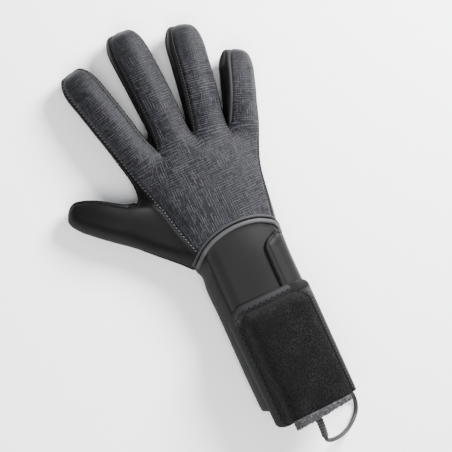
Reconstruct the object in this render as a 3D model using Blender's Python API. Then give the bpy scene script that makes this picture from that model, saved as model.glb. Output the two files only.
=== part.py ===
"""A heated diving glove for the right hand, lying palm down, with its battery pocket on the cuff.

Units are metres, +Z is up and +Y points along the fingers. The origin is on the floor under the wrist.
The thumb is on the -X side, as seen from above with the fingers pointing away.
"""

import math
from collections import namedtuple

import bmesh
import bpy
import numpy as np
from mathutils import Vector
from mathutils.bvhtree import BVHTree

# Foam walls, the gap that sewn pieces keep between their edges, and the gap under a piece that lies
# on another
SHELL_WALL = 0.0035
SEAM_GAP = 0.0006
LAY_GAP = 0.0005

# The hand. Fingers are measured from the web at their root to the tip, outside the wall.
FINGER_LENGTH = 0.0905
FINGER_WIDTH = 0.030
FINGER_DEPTH = 0.0265
FINGER_BOW = 0.003
KNUCKLE_SPAN = 0.0863
PALM_LENGTH = 0.111
PALM_DEPTH = 0.040
WEB_WIDTH = 0.0032
WEB_SLOPE = 0.011
ROOT_LENGTH = 0.0145
WRIST_WIDTH = 0.0685
WRIST_DEPTH = 0.0405
THUMB_REACH = 0.105
THUMB_ALONG = 0.092
THUMB_LENGTH = 0.040
THUMB_WIDTH = 0.0305
THUMB_DEPTH = 0.0275

# The cuff runs from the wrist seam back to the open mouth
CUFF_LENGTH = 0.110
CUFF_WIDTH = 0.0700
CUFF_DEPTH = 0.0385
SEAM_PLACE = 0.009
ARCH_RISE = 0.022
THUMB_SEAM_LIFT = 0.004
MOUTH_CURVE = 0.005

# The double band of tape over the arched wrist seam, and the patch beside it on the little finger's side
TAPE_WIDTH = 0.0066
TAPE_WALL = 0.0012
TAPE_SHARES = [-0.5, -0.27, 0.0, 0.27, 0.5]
PLACKET_WALL = 0.0020
PLACKET_EDGE = 0.0140
PLACKET_CORNER = 0.0060
PLACKET_SLANT = 0.40
PLACKET_SHARES = [0.0, 0.08, 0.24, 0.42, 0.58, 0.72, 0.84, 0.93, 1.0]

# The pocket on the cuff: a base sheet sewn on, and a raised pouch of loop fabric round the battery
POCKET_LENGTH = 0.0955
POCKET_WIDTH = 0.0635
POCKET_TOP = -0.0265
POCKET_SIDE = -0.0012
BASE_WALL = 0.0025
BORDER_WIDTH = 0.0062
BASE_TOP_CORNER = 0.0110
BASE_LOW_CORNER = 0.0045
BASE_WRAP = 75.0
BASE_LOW_ROWS = [0.0, 0.0012, 0.0040]
BASE_TOP_ROWS = [0.0070, 0.0046, 0.0025, 0.0]
POUCH_RISE = 0.0140
POUCH_WALL = 0.0025
POUCH_ROUND = 0.0095
POUCH_SQUARENESS = 4.5
POUCH_HEM = 0.0040
BATTERY_CLEARANCE = 0.0006
BATTERY_EDGE = 0.0035
BATTERY_SETBACK = 0.0015
BINDING_WIDTH = 0.0027
BINDING_DEPTH = 0.0075
BINDING_END = 0.0025
FELT_REACH = 0.0069
FELT_WALL = 0.0030
FELT_SLANT = 0.065

# The lead and the ribbed boot that it leaves the battery through
LEAD_DIAMETER = 0.0034
BOOT_LENGTH = 0.0250
BOOT_DIAMETER = 0.0062
BOOT_BEND = 42.0
BOOT_RIBS = 6
BOOT_ACROSS = 0.335
BOOT_UP = 0.56
BOOT_DRIFT = 0.06

SMOOTHING_ROUNDS = 8

# The sides and the ends of a piece as seen from above
Place = namedtuple("Place", "left right low high")

# Each finger: its root as shares of KNUCKLE_SPAN and PALM_LENGTH, its splay and roll in degrees,
# and its length and width as shares of FINGER_LENGTH and FINGER_WIDTH
Finger = namedtuple("Finger", "name root_x root_y splay roll length width")
FINGERS = [
    Finger("index", -0.480, 0.962, 12.9, -10.0, 0.915, 0.93),
    Finger("middle", -0.114, 1.000, 1.5, 4.0, 1.000, 0.99),
    Finger("ring", 0.222, 0.975, -10.8, 14.0, 0.905, 0.98),
    Finger("little", 0.524, 0.905, -21.2, 26.0, 0.640, 0.92),
]

# Rings along a finger: how far along it, and its size as a share of the full section
Ring = namedtuple("Ring", "along size")
FINGER_RINGS = [Ring(0.40, 1.00), Ring(0.66, 1.00)]
ROOT_SIZE = 0.97
ROOT_ROLL = 0.40
TIP_SHOULDER = Ring(0.95, 0.97)
TIP_ROUND = Ring(0.26, 0.72)

# Round a finger, from the middle of its back: the two seams of the back, the sides and the palm's edges
RING_ANGLES = [0, 62, 90, 118, 180, -118, -90, -62]

# Rows between the knuckles and the wrist seam: the share of the way down, how far the little finger's side is
# drawn in as a share of KNUCKLE_SPAN, how square the back is, and the top and the underside of the section
# as shares of PALM_DEPTH
Row = namedtuple("Row", "name toward_wrist drawn_in crown squareness lift")
PALM_ROWS = [
    Row("knuckles", 0.19, 0.038, 0.90, 2.4, 0.10),
    Row("thumb_web", 0.40, 0.062, 0.97, 2.5, 0.05),
    Row("thumb_root", 0.68, 0.035, 1.00, 2.5, 0.00),
]

# The side of the hand that the thumb leaves, half way down the palm
THUMB_WEB_PLACE = Vector((-0.64 * KNUCKLE_SPAN, 0.69 * PALM_LENGTH, 0.45 * PALM_DEPTH))
THUMB_POINTS_AWAY = 53.0
THUMB_ROLL = 38.0
THUMB_SWELL = 0.55

# The lead's route, from the boot's end down to the floor and up into the cuff's mouth
LEAD_ROUTE = [
    (-0.0045, -0.1423, 0.0388),
    (-0.0042, -0.1440, 0.0372),
    (-0.0026, -0.1457, 0.0348),
    (0.0006, -0.1470, 0.0320),
    (0.0050, -0.1478, 0.0282),
    (0.0110, -0.1482, 0.0225),
    (0.0170, -0.1479, 0.0160),
    (0.0235, -0.1466, 0.0096),
    (0.0296, -0.1440, 0.0048),
    (0.0346, -0.1402, 0.0024),
    (0.0378, -0.1352, 0.0019),
    (0.0388, -0.1296, 0.0030),
    (0.0376, -0.1242, 0.0068),
    (0.0349, -0.1197, 0.0122),
    (0.0316, -0.1157, 0.0180),
    (0.0286, -0.1116, 0.0228),
    (0.0264, -0.1076, 0.0262),
    (0.0250, -0.1038, 0.0283),
]
LEAD_STEP = 0.0068

# Rings of the cuff, from the mouth up: the place along the hand, the width and depth, and how far the back
# is carried forward and the sides are lifted towards the fingers
CuffRow = namedtuple("CuffRow", "along width depth rise side_lift")
CUFF_ROWS = [
    CuffRow(-CUFF_LENGTH, CUFF_WIDTH, CUFF_DEPTH, 0.0, MOUTH_CURVE),
    CuffRow(-0.0682, CUFF_WIDTH, CUFF_DEPTH, 0.0, 0.0),
    CuffRow(-0.0275, WRIST_WIDTH, CUFF_DEPTH, 0.0, 0.0),
    CuffRow(-0.0030, WRIST_WIDTH, WRIST_DEPTH, 0.0092, 0.0),
]
SEAM_ROW = CuffRow(SEAM_PLACE, 1.06 * WRIST_WIDTH, WRIST_DEPTH, ARCH_RISE, 0.0)

# Round the cuff, from the thumb's side over the back: the degrees from one point to the next
CUFF_START = -62.0
CUFF_STEPS = [0, 12, 12, 8, 12, 12, 8, 12, 12, 8, 12, 14]

PANELS = [
    "back_panel",
    "palm_panel",
    "thumb_panel",
    "fourchette_index_middle",
    "fourchette_middle_ring",
    "fourchette_ring_little",
    "cuff",
]
BACK, PALM, THUMB, FOURCHETTE, CUFF = 0, 1, 2, 3, 6


class Cage:
    """The points and four-sided faces that the smooth glove surface is drawn through."""

    def __init__(self):
        self.points = []
        self.faces = []
        self.panels = []

    def point(self, place):
        self.points.append(Vector(place))
        return len(self.points) - 1

    def face(self, panel, *corners):
        self.faces.append(corners)
        self.panels.append(panel)

    def band(self, lower, upper, panel_of):
        """Joins two rings of points by a band of faces, each with its own panel."""
        count = len(lower)
        for i in range(count):
            j = (i + 1) % count
            panel = panel_of(i)
            if panel is not None:
                self.face(panel, lower[i], lower[j], upper[j], upper[i])


def rounded(share, squareness):
    """Height of a rounded section at a share of its half width, from 1 at the middle to 0 at the side."""
    return max(0.0, 1.0 - abs(share) ** squareness) ** (1.0 / squareness)


def finger_axis(finger):
    splay = math.radians(finger.splay)
    return Vector((-math.sin(splay), math.cos(splay), 0.0))


def finger_root(finger):
    return Vector((finger.root_x * KNUCKLE_SPAN, finger.root_y * PALM_LENGTH, 0.50 * PALM_DEPTH))


def finger_ring(finger, along, size, slope=0.0):
    """Eight points round a finger at a distance along it. slope pushes the palm side towards the tip."""
    length = finger.length * FINGER_LENGTH
    axis = finger_axis(finger)
    across = axis.cross(Vector((0, 0, 1)))
    share = along / length
    tip_height = 0.5 * FINGER_DEPTH
    root = finger_root(finger)
    height = root.z + (tip_height - root.z) * share + FINGER_BOW * math.sin(math.pi * share)
    centre = Vector((root.x, root.y, 0.0)) + axis * along + Vector((0, 0, height))
    roll = math.radians(finger.roll) * min(1.0, ROOT_ROLL + (1.0 - ROOT_ROLL) * along / (2 * ROOT_LENGTH))
    side = across * math.cos(roll) - Vector((0, 0, 1)) * math.sin(roll)
    up = across * math.sin(roll) + Vector((0, 0, 1)) * math.cos(roll)
    half_width = 0.5 * finger.width * FINGER_WIDTH * size
    half_depth = 0.5 * FINGER_DEPTH * size
    ring = []
    for degrees in RING_ANGLES:
        angle = math.radians(degrees)
        push = slope * (0.3 - max(-0.47, min(0.47, math.cos(angle))))
        ring.append(
            centre + side * (half_width * math.sin(angle)) + up * (half_depth * math.cos(angle)) + axis * push
        )
    return ring


def root_rings():
    """The rings at the fingers' roots, drawn together so that neighbours are a web apart."""
    rings = [finger_ring(finger, 0.0, ROOT_SIZE, WEB_SLOPE) for finger in FINGERS]
    for left, right in zip(rings, rings[1:]):
        for a, b in ((1, 7), (2, 6), (3, 5)):
            middle = (left[a] + right[b]) / 2
            apart = (right[b] - left[a]).to_2d().to_3d()
            across = Vector((1, 0, 0)) if apart.x <= 0 else apart.normalized()
            left[a] = middle - across * (WEB_WIDTH / 2)
            right[b] = middle + across * (WEB_WIDTH / 2)
    return rings


def build_fingers(cage, roots):
    """Adds the four fingers to the cage and returns the indices of their root rings."""
    root_indices = []
    for number, (finger, root) in enumerate(zip(FINGERS, roots)):
        length = finger.length * FINGER_LENGTH
        half_width = 0.5 * finger.width * FINGER_WIDTH
        lower = [cage.point(p) for p in root]
        root_indices.append(lower)
        left = FOURCHETTE + number - 1 if number else THUMB
        left_low = left if number else PALM
        right = FOURCHETTE + number if number < 3 else PALM
        sides = [BACK, right, right, PALM, PALM, left_low, left, BACK]
        rings = [Ring(ROOT_LENGTH, ROOT_SIZE)]
        rings += [Ring(r.along * length, r.size) for r in FINGER_RINGS]
        rings.append(Ring(length - TIP_SHOULDER.along * half_width, TIP_SHOULDER.size))
        rings.append(Ring(length - TIP_ROUND.along * half_width, TIP_ROUND.size))
        for ring in rings:
            upper = [cage.point(p) for p in finger_ring(finger, ring.along, ring.size)]
            cage.band(lower, upper, lambda i: sides[i])
            lower = upper
        end = finger_ring(finger, length, 0.0)[0]
        tip = cage.point((end.x, end.y, end.z - 0.12 * FINGER_DEPTH))
        for first, panel in ((7, BACK), (1, right), (3, PALM), (5, left)):
            cage.face(panel, lower[first], lower[(first + 1) % 8], lower[(first + 2) % 8], tip)
    for number in range(3):
        a, b = root_indices[number], root_indices[number + 1]
        cage.face(FOURCHETTE + number, a[1], b[7], b[6], a[2])
        cage.face(FOURCHETTE + number, a[2], b[6], b[5], a[3])
    return root_indices


def cuff_ring(row):
    """26 points round the wrist or cuff, flat where it rests on the floor."""
    back = CUFF_START + np.cumsum(CUFF_STEPS)
    angles = [*back, 92.0, *(180.0 - back[::-1] * 0.98), -92.0]
    half_width, half_depth = 0.5 * row.width, 0.5 * row.depth
    points = []
    for degrees in angles:
        up = math.cos(math.radians(degrees))
        across = math.sin(math.radians(degrees))
        height = half_depth * (1 + up**0.75) if up > 0 else half_depth * (1 - 1.04 * (-up) ** 0.5)
        arch = max(0.0, math.cos(math.radians(degrees * 1.05))) ** 0.8 if abs(degrees) < 85 else 0.0
        forward = row.rise * arch + row.side_lift * across**4
        points.append(Vector((half_width * across, row.along + forward, height)))
    return points


def wrist_seam():
    """The ring of the wrist seam: an arch over the back of the hand, and higher on the thumb's side."""
    ring = cuff_ring(SEAM_ROW)
    ring[25].y += THUMB_SEAM_LIFT
    ring[24].y += THUMB_SEAM_LIFT
    return ring


def seam_at(x):
    """How far forward the arched wrist seam lies at a place across the back."""
    ring = wrist_seam()
    return float(np.interp(x, [p.x for p in ring[:13]], [p.y for p in ring[:13]]))


def palm_ring(row, knuckles, seam):
    """A ring between the knuckles and the wrist seam."""
    points = []
    crown = row.crown * PALM_DEPTH
    lift = row.lift * PALM_DEPTH
    left = knuckles[25].lerp(seam[25], row.toward_wrist).x
    right = knuckles[12].lerp(seam[12], row.toward_wrist).x
    middle, half_width = (left + right) / 2, (right - left) / 2
    for i, (a, b) in enumerate(zip(knuckles, seam)):
        p = a.lerp(b, row.toward_wrist)
        share = max(-1.0, min(1.0, (p.x - middle) / half_width))
        p.x -= row.drawn_in * KNUCKLE_SPAN * max(0.0, share)
        side_height = lift + 0.46 * (crown - lift)
        if i < 12:
            p.z = side_height + (crown - side_height) * rounded(share, row.squareness)
        elif 12 < i < 25:
            p.z = side_height + (lift - side_height) * rounded(share, 3.2)
        else:
            p.z = side_height
        points.append(p)
    return points


def build_palm(cage, roots):
    """Adds the palm and cuff below the fingers' root rings. Returns the rows' indices, from the mouth up."""
    knuckles = [i for root in roots for i in (root[7], root[0], root[1])]
    knuckles.append(roots[3][2])
    knuckles += [i for root in reversed(roots) for i in (root[3], root[4], root[5])]
    knuckles.append(roots[0][6])
    knuckle_points = [cage.points[i] for i in knuckles]
    seam = wrist_seam()
    rings = [palm_ring(row, knuckle_points, seam) for row in PALM_ROWS]
    rings[1][25] = THUMB_WEB_PLACE.copy()
    cuff = [cuff_ring(row) for row in CUFF_ROWS]
    rows = [[cage.point(p) for p in ring] for ring in (*cuff, seam, *reversed(rings))]
    rows.append(knuckles)
    for number, (lower, upper) in enumerate(zip(rows, rows[1:])):
        thumb_here = len(cuff) <= number < len(cuff) + 2

        def panel_of(i, number=number, thumb_here=thumb_here):
            if number < len(cuff):
                return CUFF
            if i < 11:
                return BACK
            if i < 24:
                return PALM
            if thumb_here:
                return None
            return PALM if i == 24 else THUMB

        cage.band(lower, upper, panel_of)
    return rows


def build_thumb(cage, rows):
    """Adds the thumb to the opening that the palm leaves on its side."""
    seam_row, root_row, web_row = rows[4], rows[5], rows[6]
    base = [root_row[0], web_row[0], web_row[25], web_row[24]]
    base += [root_row[24], seam_row[24], seam_row[25], seam_row[0]]
    away = math.radians(THUMB_POINTS_AWAY)
    axis = Vector((-math.sin(away), math.cos(away), 0.0))
    lateral = axis.cross(Vector((0, 0, 1)))
    tip = Vector((-THUMB_REACH, THUMB_ALONG, 0.5 * THUMB_DEPTH))
    half_width = 0.5 * THUMB_WIDTH
    roll = math.radians(THUMB_ROLL)

    def ring(from_tip, size, height):
        centre = Vector((tip.x, tip.y, height)) - axis * from_tip
        side = lateral * math.cos(roll) + Vector((0, 0, 1)) * math.sin(roll)
        up = Vector((0, 0, 1)) * math.cos(roll) - lateral * math.sin(roll)
        points = []
        for degrees in RING_ANGLES:
            angle = math.radians(degrees)
            points.append(
                centre
                + side * (half_width * size * math.sin(angle))
                + up * (0.5 * THUMB_DEPTH * size * math.cos(angle))
            )
        return points

    free = [
        ring(THUMB_LENGTH, 1.0, 0.56 * THUMB_DEPTH),
        ring(0.62 * THUMB_LENGTH, 0.92, 0.52 * THUMB_DEPTH),
        ring(0.88 * half_width, 0.82, 0.46 * THUMB_DEPTH),
        ring(0.24 * half_width, 0.58, 0.44 * THUMB_DEPTH),
    ]
    base_points = [cage.points[i] for i in base]
    swell = [a.lerp(b, THUMB_SWELL) for a, b in zip(base_points, free[0])]
    lower = base
    sides = [THUMB, THUMB, PALM, PALM, PALM, PALM, THUMB, THUMB]
    for points in (swell, *free):
        upper = [cage.point(p) for p in points]
        cage.band(lower, upper, lambda i: sides[i])
        lower = upper
    end = cage.point((tip.x, tip.y, 0.44 * THUMB_DEPTH))
    for first, panel in ((0, THUMB), (2, PALM), (4, PALM), (6, THUMB)):
        cage.face(panel, lower[first], lower[first + 1], lower[(first + 2) % 8], end)


def smoothed(cage, levels):
    """The glove's whole outer surface as a mesh, smooth and passing through the cage's own points."""
    mesh = bpy.data.meshes.new("glove_cage")
    mesh.from_pydata([p[:] for p in cage.points], [], cage.faces)
    mesh.polygons.foreach_set("material_index", cage.panels)
    obj = bpy.data.objects.new("glove_cage", mesh)
    bpy.context.scene.collection.objects.link(obj)
    for _ in PANELS:
        mesh.materials.append(None)
    modifier = obj.modifiers.new("smooth", "SUBSURF")
    modifier.levels = modifier.render_levels = levels
    modifier.use_limit_surface = True
    target = np.array(cage.points)
    guess = target.copy()
    for _ in range(SMOOTHING_ROUNDS):
        mesh.vertices.foreach_set("co", guess.ravel())
        mesh.update()
        graph = bpy.context.evaluated_depsgraph_get()
        graph.update()
        made = obj.evaluated_get(graph).data
        found = np.array([made.vertices[i].co for i in range(len(target))])
        guess += 0.9 * (target - found)
    mesh.vertices.foreach_set("co", guess.ravel())
    mesh.update()
    graph = bpy.context.evaluated_depsgraph_get()
    graph.update()
    surface = bpy.data.meshes.new_from_object(obj.evaluated_get(graph))
    bpy.data.objects.remove(obj)
    for vertex in surface.vertices:
        vertex.co.z = max(vertex.co.z, 0.0)
    surface.update()
    return surface


def walled(name, surface, wall, faces, gap=SEAM_GAP):
    """A solid sheet: some faces of a surface, drawn in by half a gap at their edges, with a wall behind."""
    normals = [v.normal.copy() for v in surface.vertices]
    edges = {(a, b) for face in faces for a, b in zip(face, face[1:] + face[:1])}
    border = {a: b for a, b in edges if (b, a) not in edges}
    before = {b: a for a, b in border.items()}
    used = sorted({i for face in faces for i in face})
    outer = {i: surface.vertices[i].co.copy() for i in used}
    for a, b in border.items():
        along = surface.vertices[b].co - surface.vertices[before[a]].co
        outer[a] += normals[a].cross(along).normalized() * (gap / 2)
    mesh = bmesh.new()
    top = {i: mesh.verts.new(outer[i]) for i in used}
    bottom = {i: mesh.verts.new(outer[i] - normals[i] * wall) for i in used}
    for face in faces:
        mesh.faces.new([top[i] for i in face])
        mesh.faces.new([bottom[i] for i in reversed(face)])
    for a, b in border.items():
        mesh.faces.new([top[b], top[a], bottom[a], bottom[b]])
    return placed(name, mesh)


def placed(name, mesh):
    """Puts a finished bmesh into the scene as a named object."""
    made = bpy.data.meshes.new(name)
    mesh.to_mesh(made)
    mesh.free()
    obj = bpy.data.objects.new(name, made)
    bpy.context.scene.collection.objects.link(obj)
    made.shade_smooth()
    made.set_sharp_from_angle(angle=math.radians(40))
    return obj


def sheet(name, rows, wall):
    """A solid sheet from a grid of points on its outer side, in rows that make that side face up or out."""
    mesh = bpy.data.meshes.new(name)
    width = len(rows[0])
    faces = [
        (j * width + i, j * width + i + 1, (j + 1) * width + i + 1, (j + 1) * width + i)
        for j in range(len(rows) - 1)
        for i in range(width - 1)
    ]
    mesh.from_pydata([p[:] for row in rows for p in row], [], faces)
    mesh.update()
    return walled(name, mesh, wall, faces, gap=0.0)


def tube(name, rings):
    """A closed solid through rings of points, capped at both ends."""
    mesh = bmesh.new()
    made = [[mesh.verts.new(p) for p in ring] for ring in rings]
    count = len(rings[0])
    for lower, upper in zip(made, made[1:]):
        for i in range(count):
            j = (i + 1) % count
            mesh.faces.new([lower[i], lower[j], upper[j], upper[i]])
    mesh.faces.new(list(reversed(made[0])))
    mesh.faces.new(made[-1])
    bmesh.ops.recalc_face_normals(mesh, faces=mesh.faces)
    return placed(name, mesh)


def linspace(start, end, count):
    return [start + (end - start) * i / (count - 1) for i in range(count)]


class Surface:
    """A surface to lay other pieces on. Beyond its end towards the mouth, it carries on level."""

    def __init__(self, mesh, lowest_y):
        shape = bmesh.new()
        shape.from_mesh(mesh)
        self.tree = BVHTree.FromBMesh(shape)
        self.lowest_y = lowest_y
        shape.free()

    def over(self, x, y, distance):
        """The place above (x, y), lifted off the surface by a distance."""
        hit, normal, *_ = self.tree.ray_cast(Vector((x, max(y, self.lowest_y), 1.0)), Vector((0, 0, -1)))
        if hit is None:
            hit, normal, *_ = self.tree.find_nearest(Vector((x, max(y, self.lowest_y), 0.5 * CUFF_DEPTH)))
        return Vector((hit.x, y, hit.z)) + Vector((normal.x, 0, normal.z)) * distance

    def top(self, x, y):
        return self.over(x, y, 0.0).z

    def lifted(self, point, distance):
        """The place on the surface nearest a point, lifted off it by a distance."""
        place, normal, *_ = self.tree.find_nearest(point)
        return place + normal * distance


def seated(obj, surface):
    """Raises each point of a piece that would sink into the surface it is sewn on."""
    for vertex in obj.data.vertices:
        vertex.co.z = max(vertex.co.z, surface.top(vertex.co.x, vertex.co.y) + LAY_GAP)
    obj.data.update()
    return obj


def corner_inset(from_end, radius):
    """How far a rounded corner draws a side in, at a distance from the end."""
    if from_end >= radius:
        return 0.0
    return radius - math.sqrt(max(0.0, radius**2 - (radius - from_end) ** 2))


def wrist_tape(glove):
    """The tape over the wrist seam: two raised bands with a groove between them."""
    seam = wrist_seam()
    line = smooth_route([seam[25].lerp(seam[0], 0.4), *seam[:12], seam[11].lerp(seam[12], 0.7)], 2)
    rows = [[] for _ in TAPE_SHARES]
    for i, place in enumerate(line):
        along = line[min(i + 1, len(line) - 1)] - line[max(i - 1, 0)]
        _, normal, *_ = glove.tree.find_nearest(place)
        aside = normal.cross(along).normalized()
        for row, share in zip(rows, TAPE_SHARES):
            groove = 0.4 * TAPE_WALL if share == 0.0 else 0.0
            row.append(glove.lifted(place + aside * (share * TAPE_WIDTH), LAY_GAP + TAPE_WALL - groove))
    return sheet("wrist_seam_tape", rows, 0.55 * TAPE_WALL)


def side_placket(glove):
    """The stitched patch on the little finger's side of the cuff, from the tape down to the pocket."""
    low = POCKET_TOP + LAY_GAP
    reach = 0.5 * WRIST_WIDTH - 2 * LAY_GAP - PLACKET_EDGE
    rows = []
    for step in linspace(0.0, 1.0, 8):
        row = []
        for share in PLACKET_SHARES:
            x = PLACKET_EDGE + share * reach
            high = SEAM_PLACE + PLACKET_SLANT * share * reach - corner_inset(share * reach, PLACKET_CORNER)
            high = min(high, seam_at(x) - 0.82 * TAPE_WIDTH)
            y = low + (high - low) * step
            puff = PLACKET_WALL * (0.55 if step in (0.0, 1.0) or share == 0.0 else 1.0)
            row.append(glove.over(x, y, 1.5 * LAY_GAP + puff))
        rows.append(row)
    return sheet("side_placket", rows, 0.5 * PLACKET_WALL)


def pocket_base(glove):
    """The neoprene sheet that the pocket is sewn on, draped over the cuff and past its mouth."""
    low = POCKET_TOP - POCKET_LENGTH
    stations = [low + reach for reach in BASE_LOW_ROWS]
    stations += linspace(low + BASE_TOP_CORNER, POCKET_TOP - 1.2 * BASE_TOP_CORNER, 9)
    stations += [POCKET_TOP - reach for reach in BASE_TOP_ROWS]
    rows = []
    for y in stations:
        half = 0.5 * POCKET_WIDTH - 0.6 * (LAY_GAP + BASE_WALL)
        half -= corner_inset(y - low, BASE_LOW_CORNER) + corner_inset(POCKET_TOP - y, BASE_TOP_CORNER)
        half /= math.sin(math.radians(BASE_WRAP))
        across = [half * math.sin(math.radians(degrees)) for degrees in linspace(-BASE_WRAP, BASE_WRAP, 15)]
        rows.append([glove.over(POCKET_SIDE + x, y, 2 * LAY_GAP + BASE_WALL) for x in across])
    return sheet("pocket_base", rows, BASE_WALL)


def pouch_place():
    """The pouch's two sides and its two ends on the base sheet."""
    return Place(
        left=POCKET_SIDE - 0.5 * POCKET_WIDTH + BORDER_WIDTH,
        right=POCKET_SIDE + 0.5 * POCKET_WIDTH - 0.45 * BORDER_WIDTH,
        low=POCKET_TOP - POCKET_LENGTH + 0.35 * BORDER_WIDTH,
        high=POCKET_TOP - 1.1 * BORDER_WIDTH,
    )


def pouch_crown(base):
    """The height of the pouch's top."""
    pouch = pouch_place()
    return base.top(0.5 * (pouch.left + pouch.right), 0.5 * (pouch.low + pouch.high)) + LAY_GAP + POUCH_RISE


def pouch_row(base, y, count=15):
    """The pouch's outside across the cuff, from its left foot over the top to its right foot."""
    pouch = pouch_place()
    from_end = pouch.high - y
    middle = 0.5 * (pouch.left + pouch.right)
    half = 0.5 * (pouch.right - pouch.left) - corner_inset(from_end, POUCH_ROUND)
    grown = rounded(1.0 - min(1.0, from_end / POUCH_ROUND), 2.2)
    row = []
    for degrees in linspace(-90.0, 90.0, count):
        angle = math.radians(degrees)
        across = math.copysign(abs(math.sin(angle)) ** (2 / POUCH_SQUARENESS), math.sin(angle))
        up = abs(math.cos(angle)) ** (2 / POUCH_SQUARENESS)
        x = middle + half * across
        foot = base.top(x, y) + LAY_GAP
        row.append(Vector((x, y, foot + grown * up * (pouch_crown(base) - foot))))
    return row


def battery_pouch(base):
    """The raised loop-fabric pouch: a shell open towards the base sheet and at its lower end."""
    pouch = pouch_place()
    stations = [pouch.low, *linspace(pouch.low + POUCH_HEM, pouch.high - POUCH_ROUND, 8)]
    stations += [pouch.high - share * POUCH_ROUND for share in (0.62, 0.34, 0.15, 0.04, 0.0)]
    return seated(sheet("battery_pouch", [pouch_row(base, y) for y in stations], POUCH_WALL), base)


def rounded_box(name, low, high, radius, edge):
    """A box with rounded upright corners and a soft edge above and below."""
    rings = []
    for height, inset in ((low.z, edge), (low.z + edge, 0.0), (high.z - edge, 0.0), (high.z, edge)):
        ring = []
        for sx, sy, start in ((1, 1, 0), (-1, 1, 90), (-1, -1, 180), (1, -1, 270)):
            x = high.x - radius if sx > 0 else low.x + radius
            y = high.y - radius if sy > 0 else low.y + radius
            for degrees in (start, start + 45, start + 90):
                angle = math.radians(degrees)
                out = radius - inset
                ring.append(Vector((x + out * math.cos(angle), y + out * math.sin(angle), height)))
        rings.append(ring)
    return tube(name, rings)


def battery_box(base):
    """The lowest and highest corners of the battery, with clearance all round inside the pouch."""
    pouch = pouch_place()
    room = POUCH_WALL + BATTERY_CLEARANCE
    middle = 0.5 * (pouch.left + pouch.right)
    floor = max(base.top(middle, y) for y in linspace(pouch.low, pouch.high, 5)) + BATTERY_CLEARANCE
    top = pouch_crown(base) - room - BATTERY_CLEARANCE
    low = Vector((pouch.left + room + BATTERY_EDGE, pouch.low + BATTERY_SETBACK, floor))
    high = Vector((pouch.right - room - BATTERY_EDGE, pouch.high - POUCH_ROUND, top))
    return low, high


def felt_edge(base):
    """The rough lip that carries the pouch's top on past its open end."""
    pouch = pouch_place()
    rows = []
    for share in (1.0, 0.85, 0.45, 0.0):
        row = []
        for p in pouch_row(base, pouch.low)[3:-3]:
            slant = FELT_SLANT * (p.x - pouch.left)
            tuck = 0.35 * FELT_WALL if share == 1.0 else 0.0
            row.append(Vector((p.x, pouch.low - SEAM_GAP - share * (FELT_REACH - slant), p.z - tuck)))
        rows.append(row)
    return sheet("felt_edge", rows, FELT_WALL)


def oval(centre, across, up, half_width, half_height, count=8):
    """A ring of points round a centre."""
    return [
        centre + across * (half_width * math.cos(a)) + up * (half_height * math.sin(a))
        for a in linspace(0, 2 * math.pi, count + 1)[:-1]
    ]


def flap_binding(base):
    """The rounded binding along the pocket's edge on the little finger's side."""
    low, high = pouch_place().low + BASE_LOW_CORNER, pouch_place().high
    edge = base_edge(base)
    stations = [(low, 0.55), (low + BINDING_END, 0.9)]
    stations += [(y, 1.0) for y in linspace(low + 2 * BINDING_END, high - BINDING_END, 7)]
    stations += [(high, 0.85), (high + 0.5 * BINDING_END, 0.5)]
    rings = []
    for y, size in stations:
        centre = Vector((edge.x + LAY_GAP + 0.5 * BINDING_WIDTH, y, edge.z + 0.12 * BINDING_DEPTH))
        half_width, half_depth = 0.5 * BINDING_WIDTH * size, 0.5 * BINDING_DEPTH * size
        rings.append(oval(centre, Vector((1, 0, 0)), Vector((0, 0, 1)), half_width, half_depth))
    return tube("flap_binding", rings)


def base_edge(base):
    """The outermost place of the base sheet on the little finger's side."""
    return base.tree.find_nearest(Vector((CUFF_WIDTH, POCKET_TOP - 0.5 * POCKET_LENGTH, 0.8 * CUFF_DEPTH)))[0]


def boot_place(base, share):
    """The middle of the boot at a share of its length, and the way it points there: it bends down evenly."""
    low, high = battery_box(base)
    bend = math.radians(BOOT_BEND)
    turn = bend * share
    across, up = BOOT_ACROSS * (high.x - low.x), BOOT_UP * (high.z - low.z)
    start = Vector((low.x + across, low.y - LAY_GAP, low.z + up))
    forward = BOOT_LENGTH * math.sin(turn) / bend
    down = BOOT_LENGTH * (1 - math.cos(turn)) / bend
    centre = start + Vector((BOOT_DRIFT * forward, -forward, -down))
    return centre, Vector((0.0, -math.cos(turn), -math.sin(turn)))


def strain_relief(base):
    """The ribbed boot, tapering towards the lead."""
    stations = [(0.0, 1.0), (0.10, 1.0)]
    for rib in range(BOOT_RIBS):
        near = 0.14 + 0.80 * rib / BOOT_RIBS
        full = 1.0 - 0.16 * rib / BOOT_RIBS
        stations += [(near, 0.74 * full), (near + 0.035, full), (near + 0.095, full)]
    stations += [(0.955, 0.62), (1.0, 0.60)]
    rings = []
    for share, size in stations:
        centre, axis = boot_place(base, share)
        across = Vector((1, 0, 0))
        radius = 0.5 * BOOT_DIAMETER * size
        rings.append(oval(centre, across, across.cross(axis), radius, radius))
    return tube("strain_relief", rings)


def smooth_route(points, steps):
    """Points on a smooth curve through the given ones."""
    ends = [2 * points[0] - points[1], *points, 2 * points[-1] - points[-2]]
    route = []
    for a, b, c, d in zip(ends, ends[1:], ends[2:], ends[3:]):
        for step in range(steps):
            t = step / steps
            bent = (2 * a - 5 * b + 4 * c - d) * t**2 + (3 * b - a - 3 * c + d) * t**3
            route.append(0.5 * (2 * b + (c - a) * t + bent))
    return [*route, points[-1]]


def evenly(points, spacing):
    """Places at nearly equal distances along a line of points."""
    steps = [0.0]
    for a, b in zip(points, points[1:]):
        steps.append(steps[-1] + (b - a).length)
    count = max(2, round(steps[-1] / spacing) + 1)
    wanted = np.linspace(0.0, steps[-1], count)
    return [Vector(p) for p in zip(*(np.interp(wanted, steps, [p[k] for p in points]) for k in range(3)))]


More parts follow.
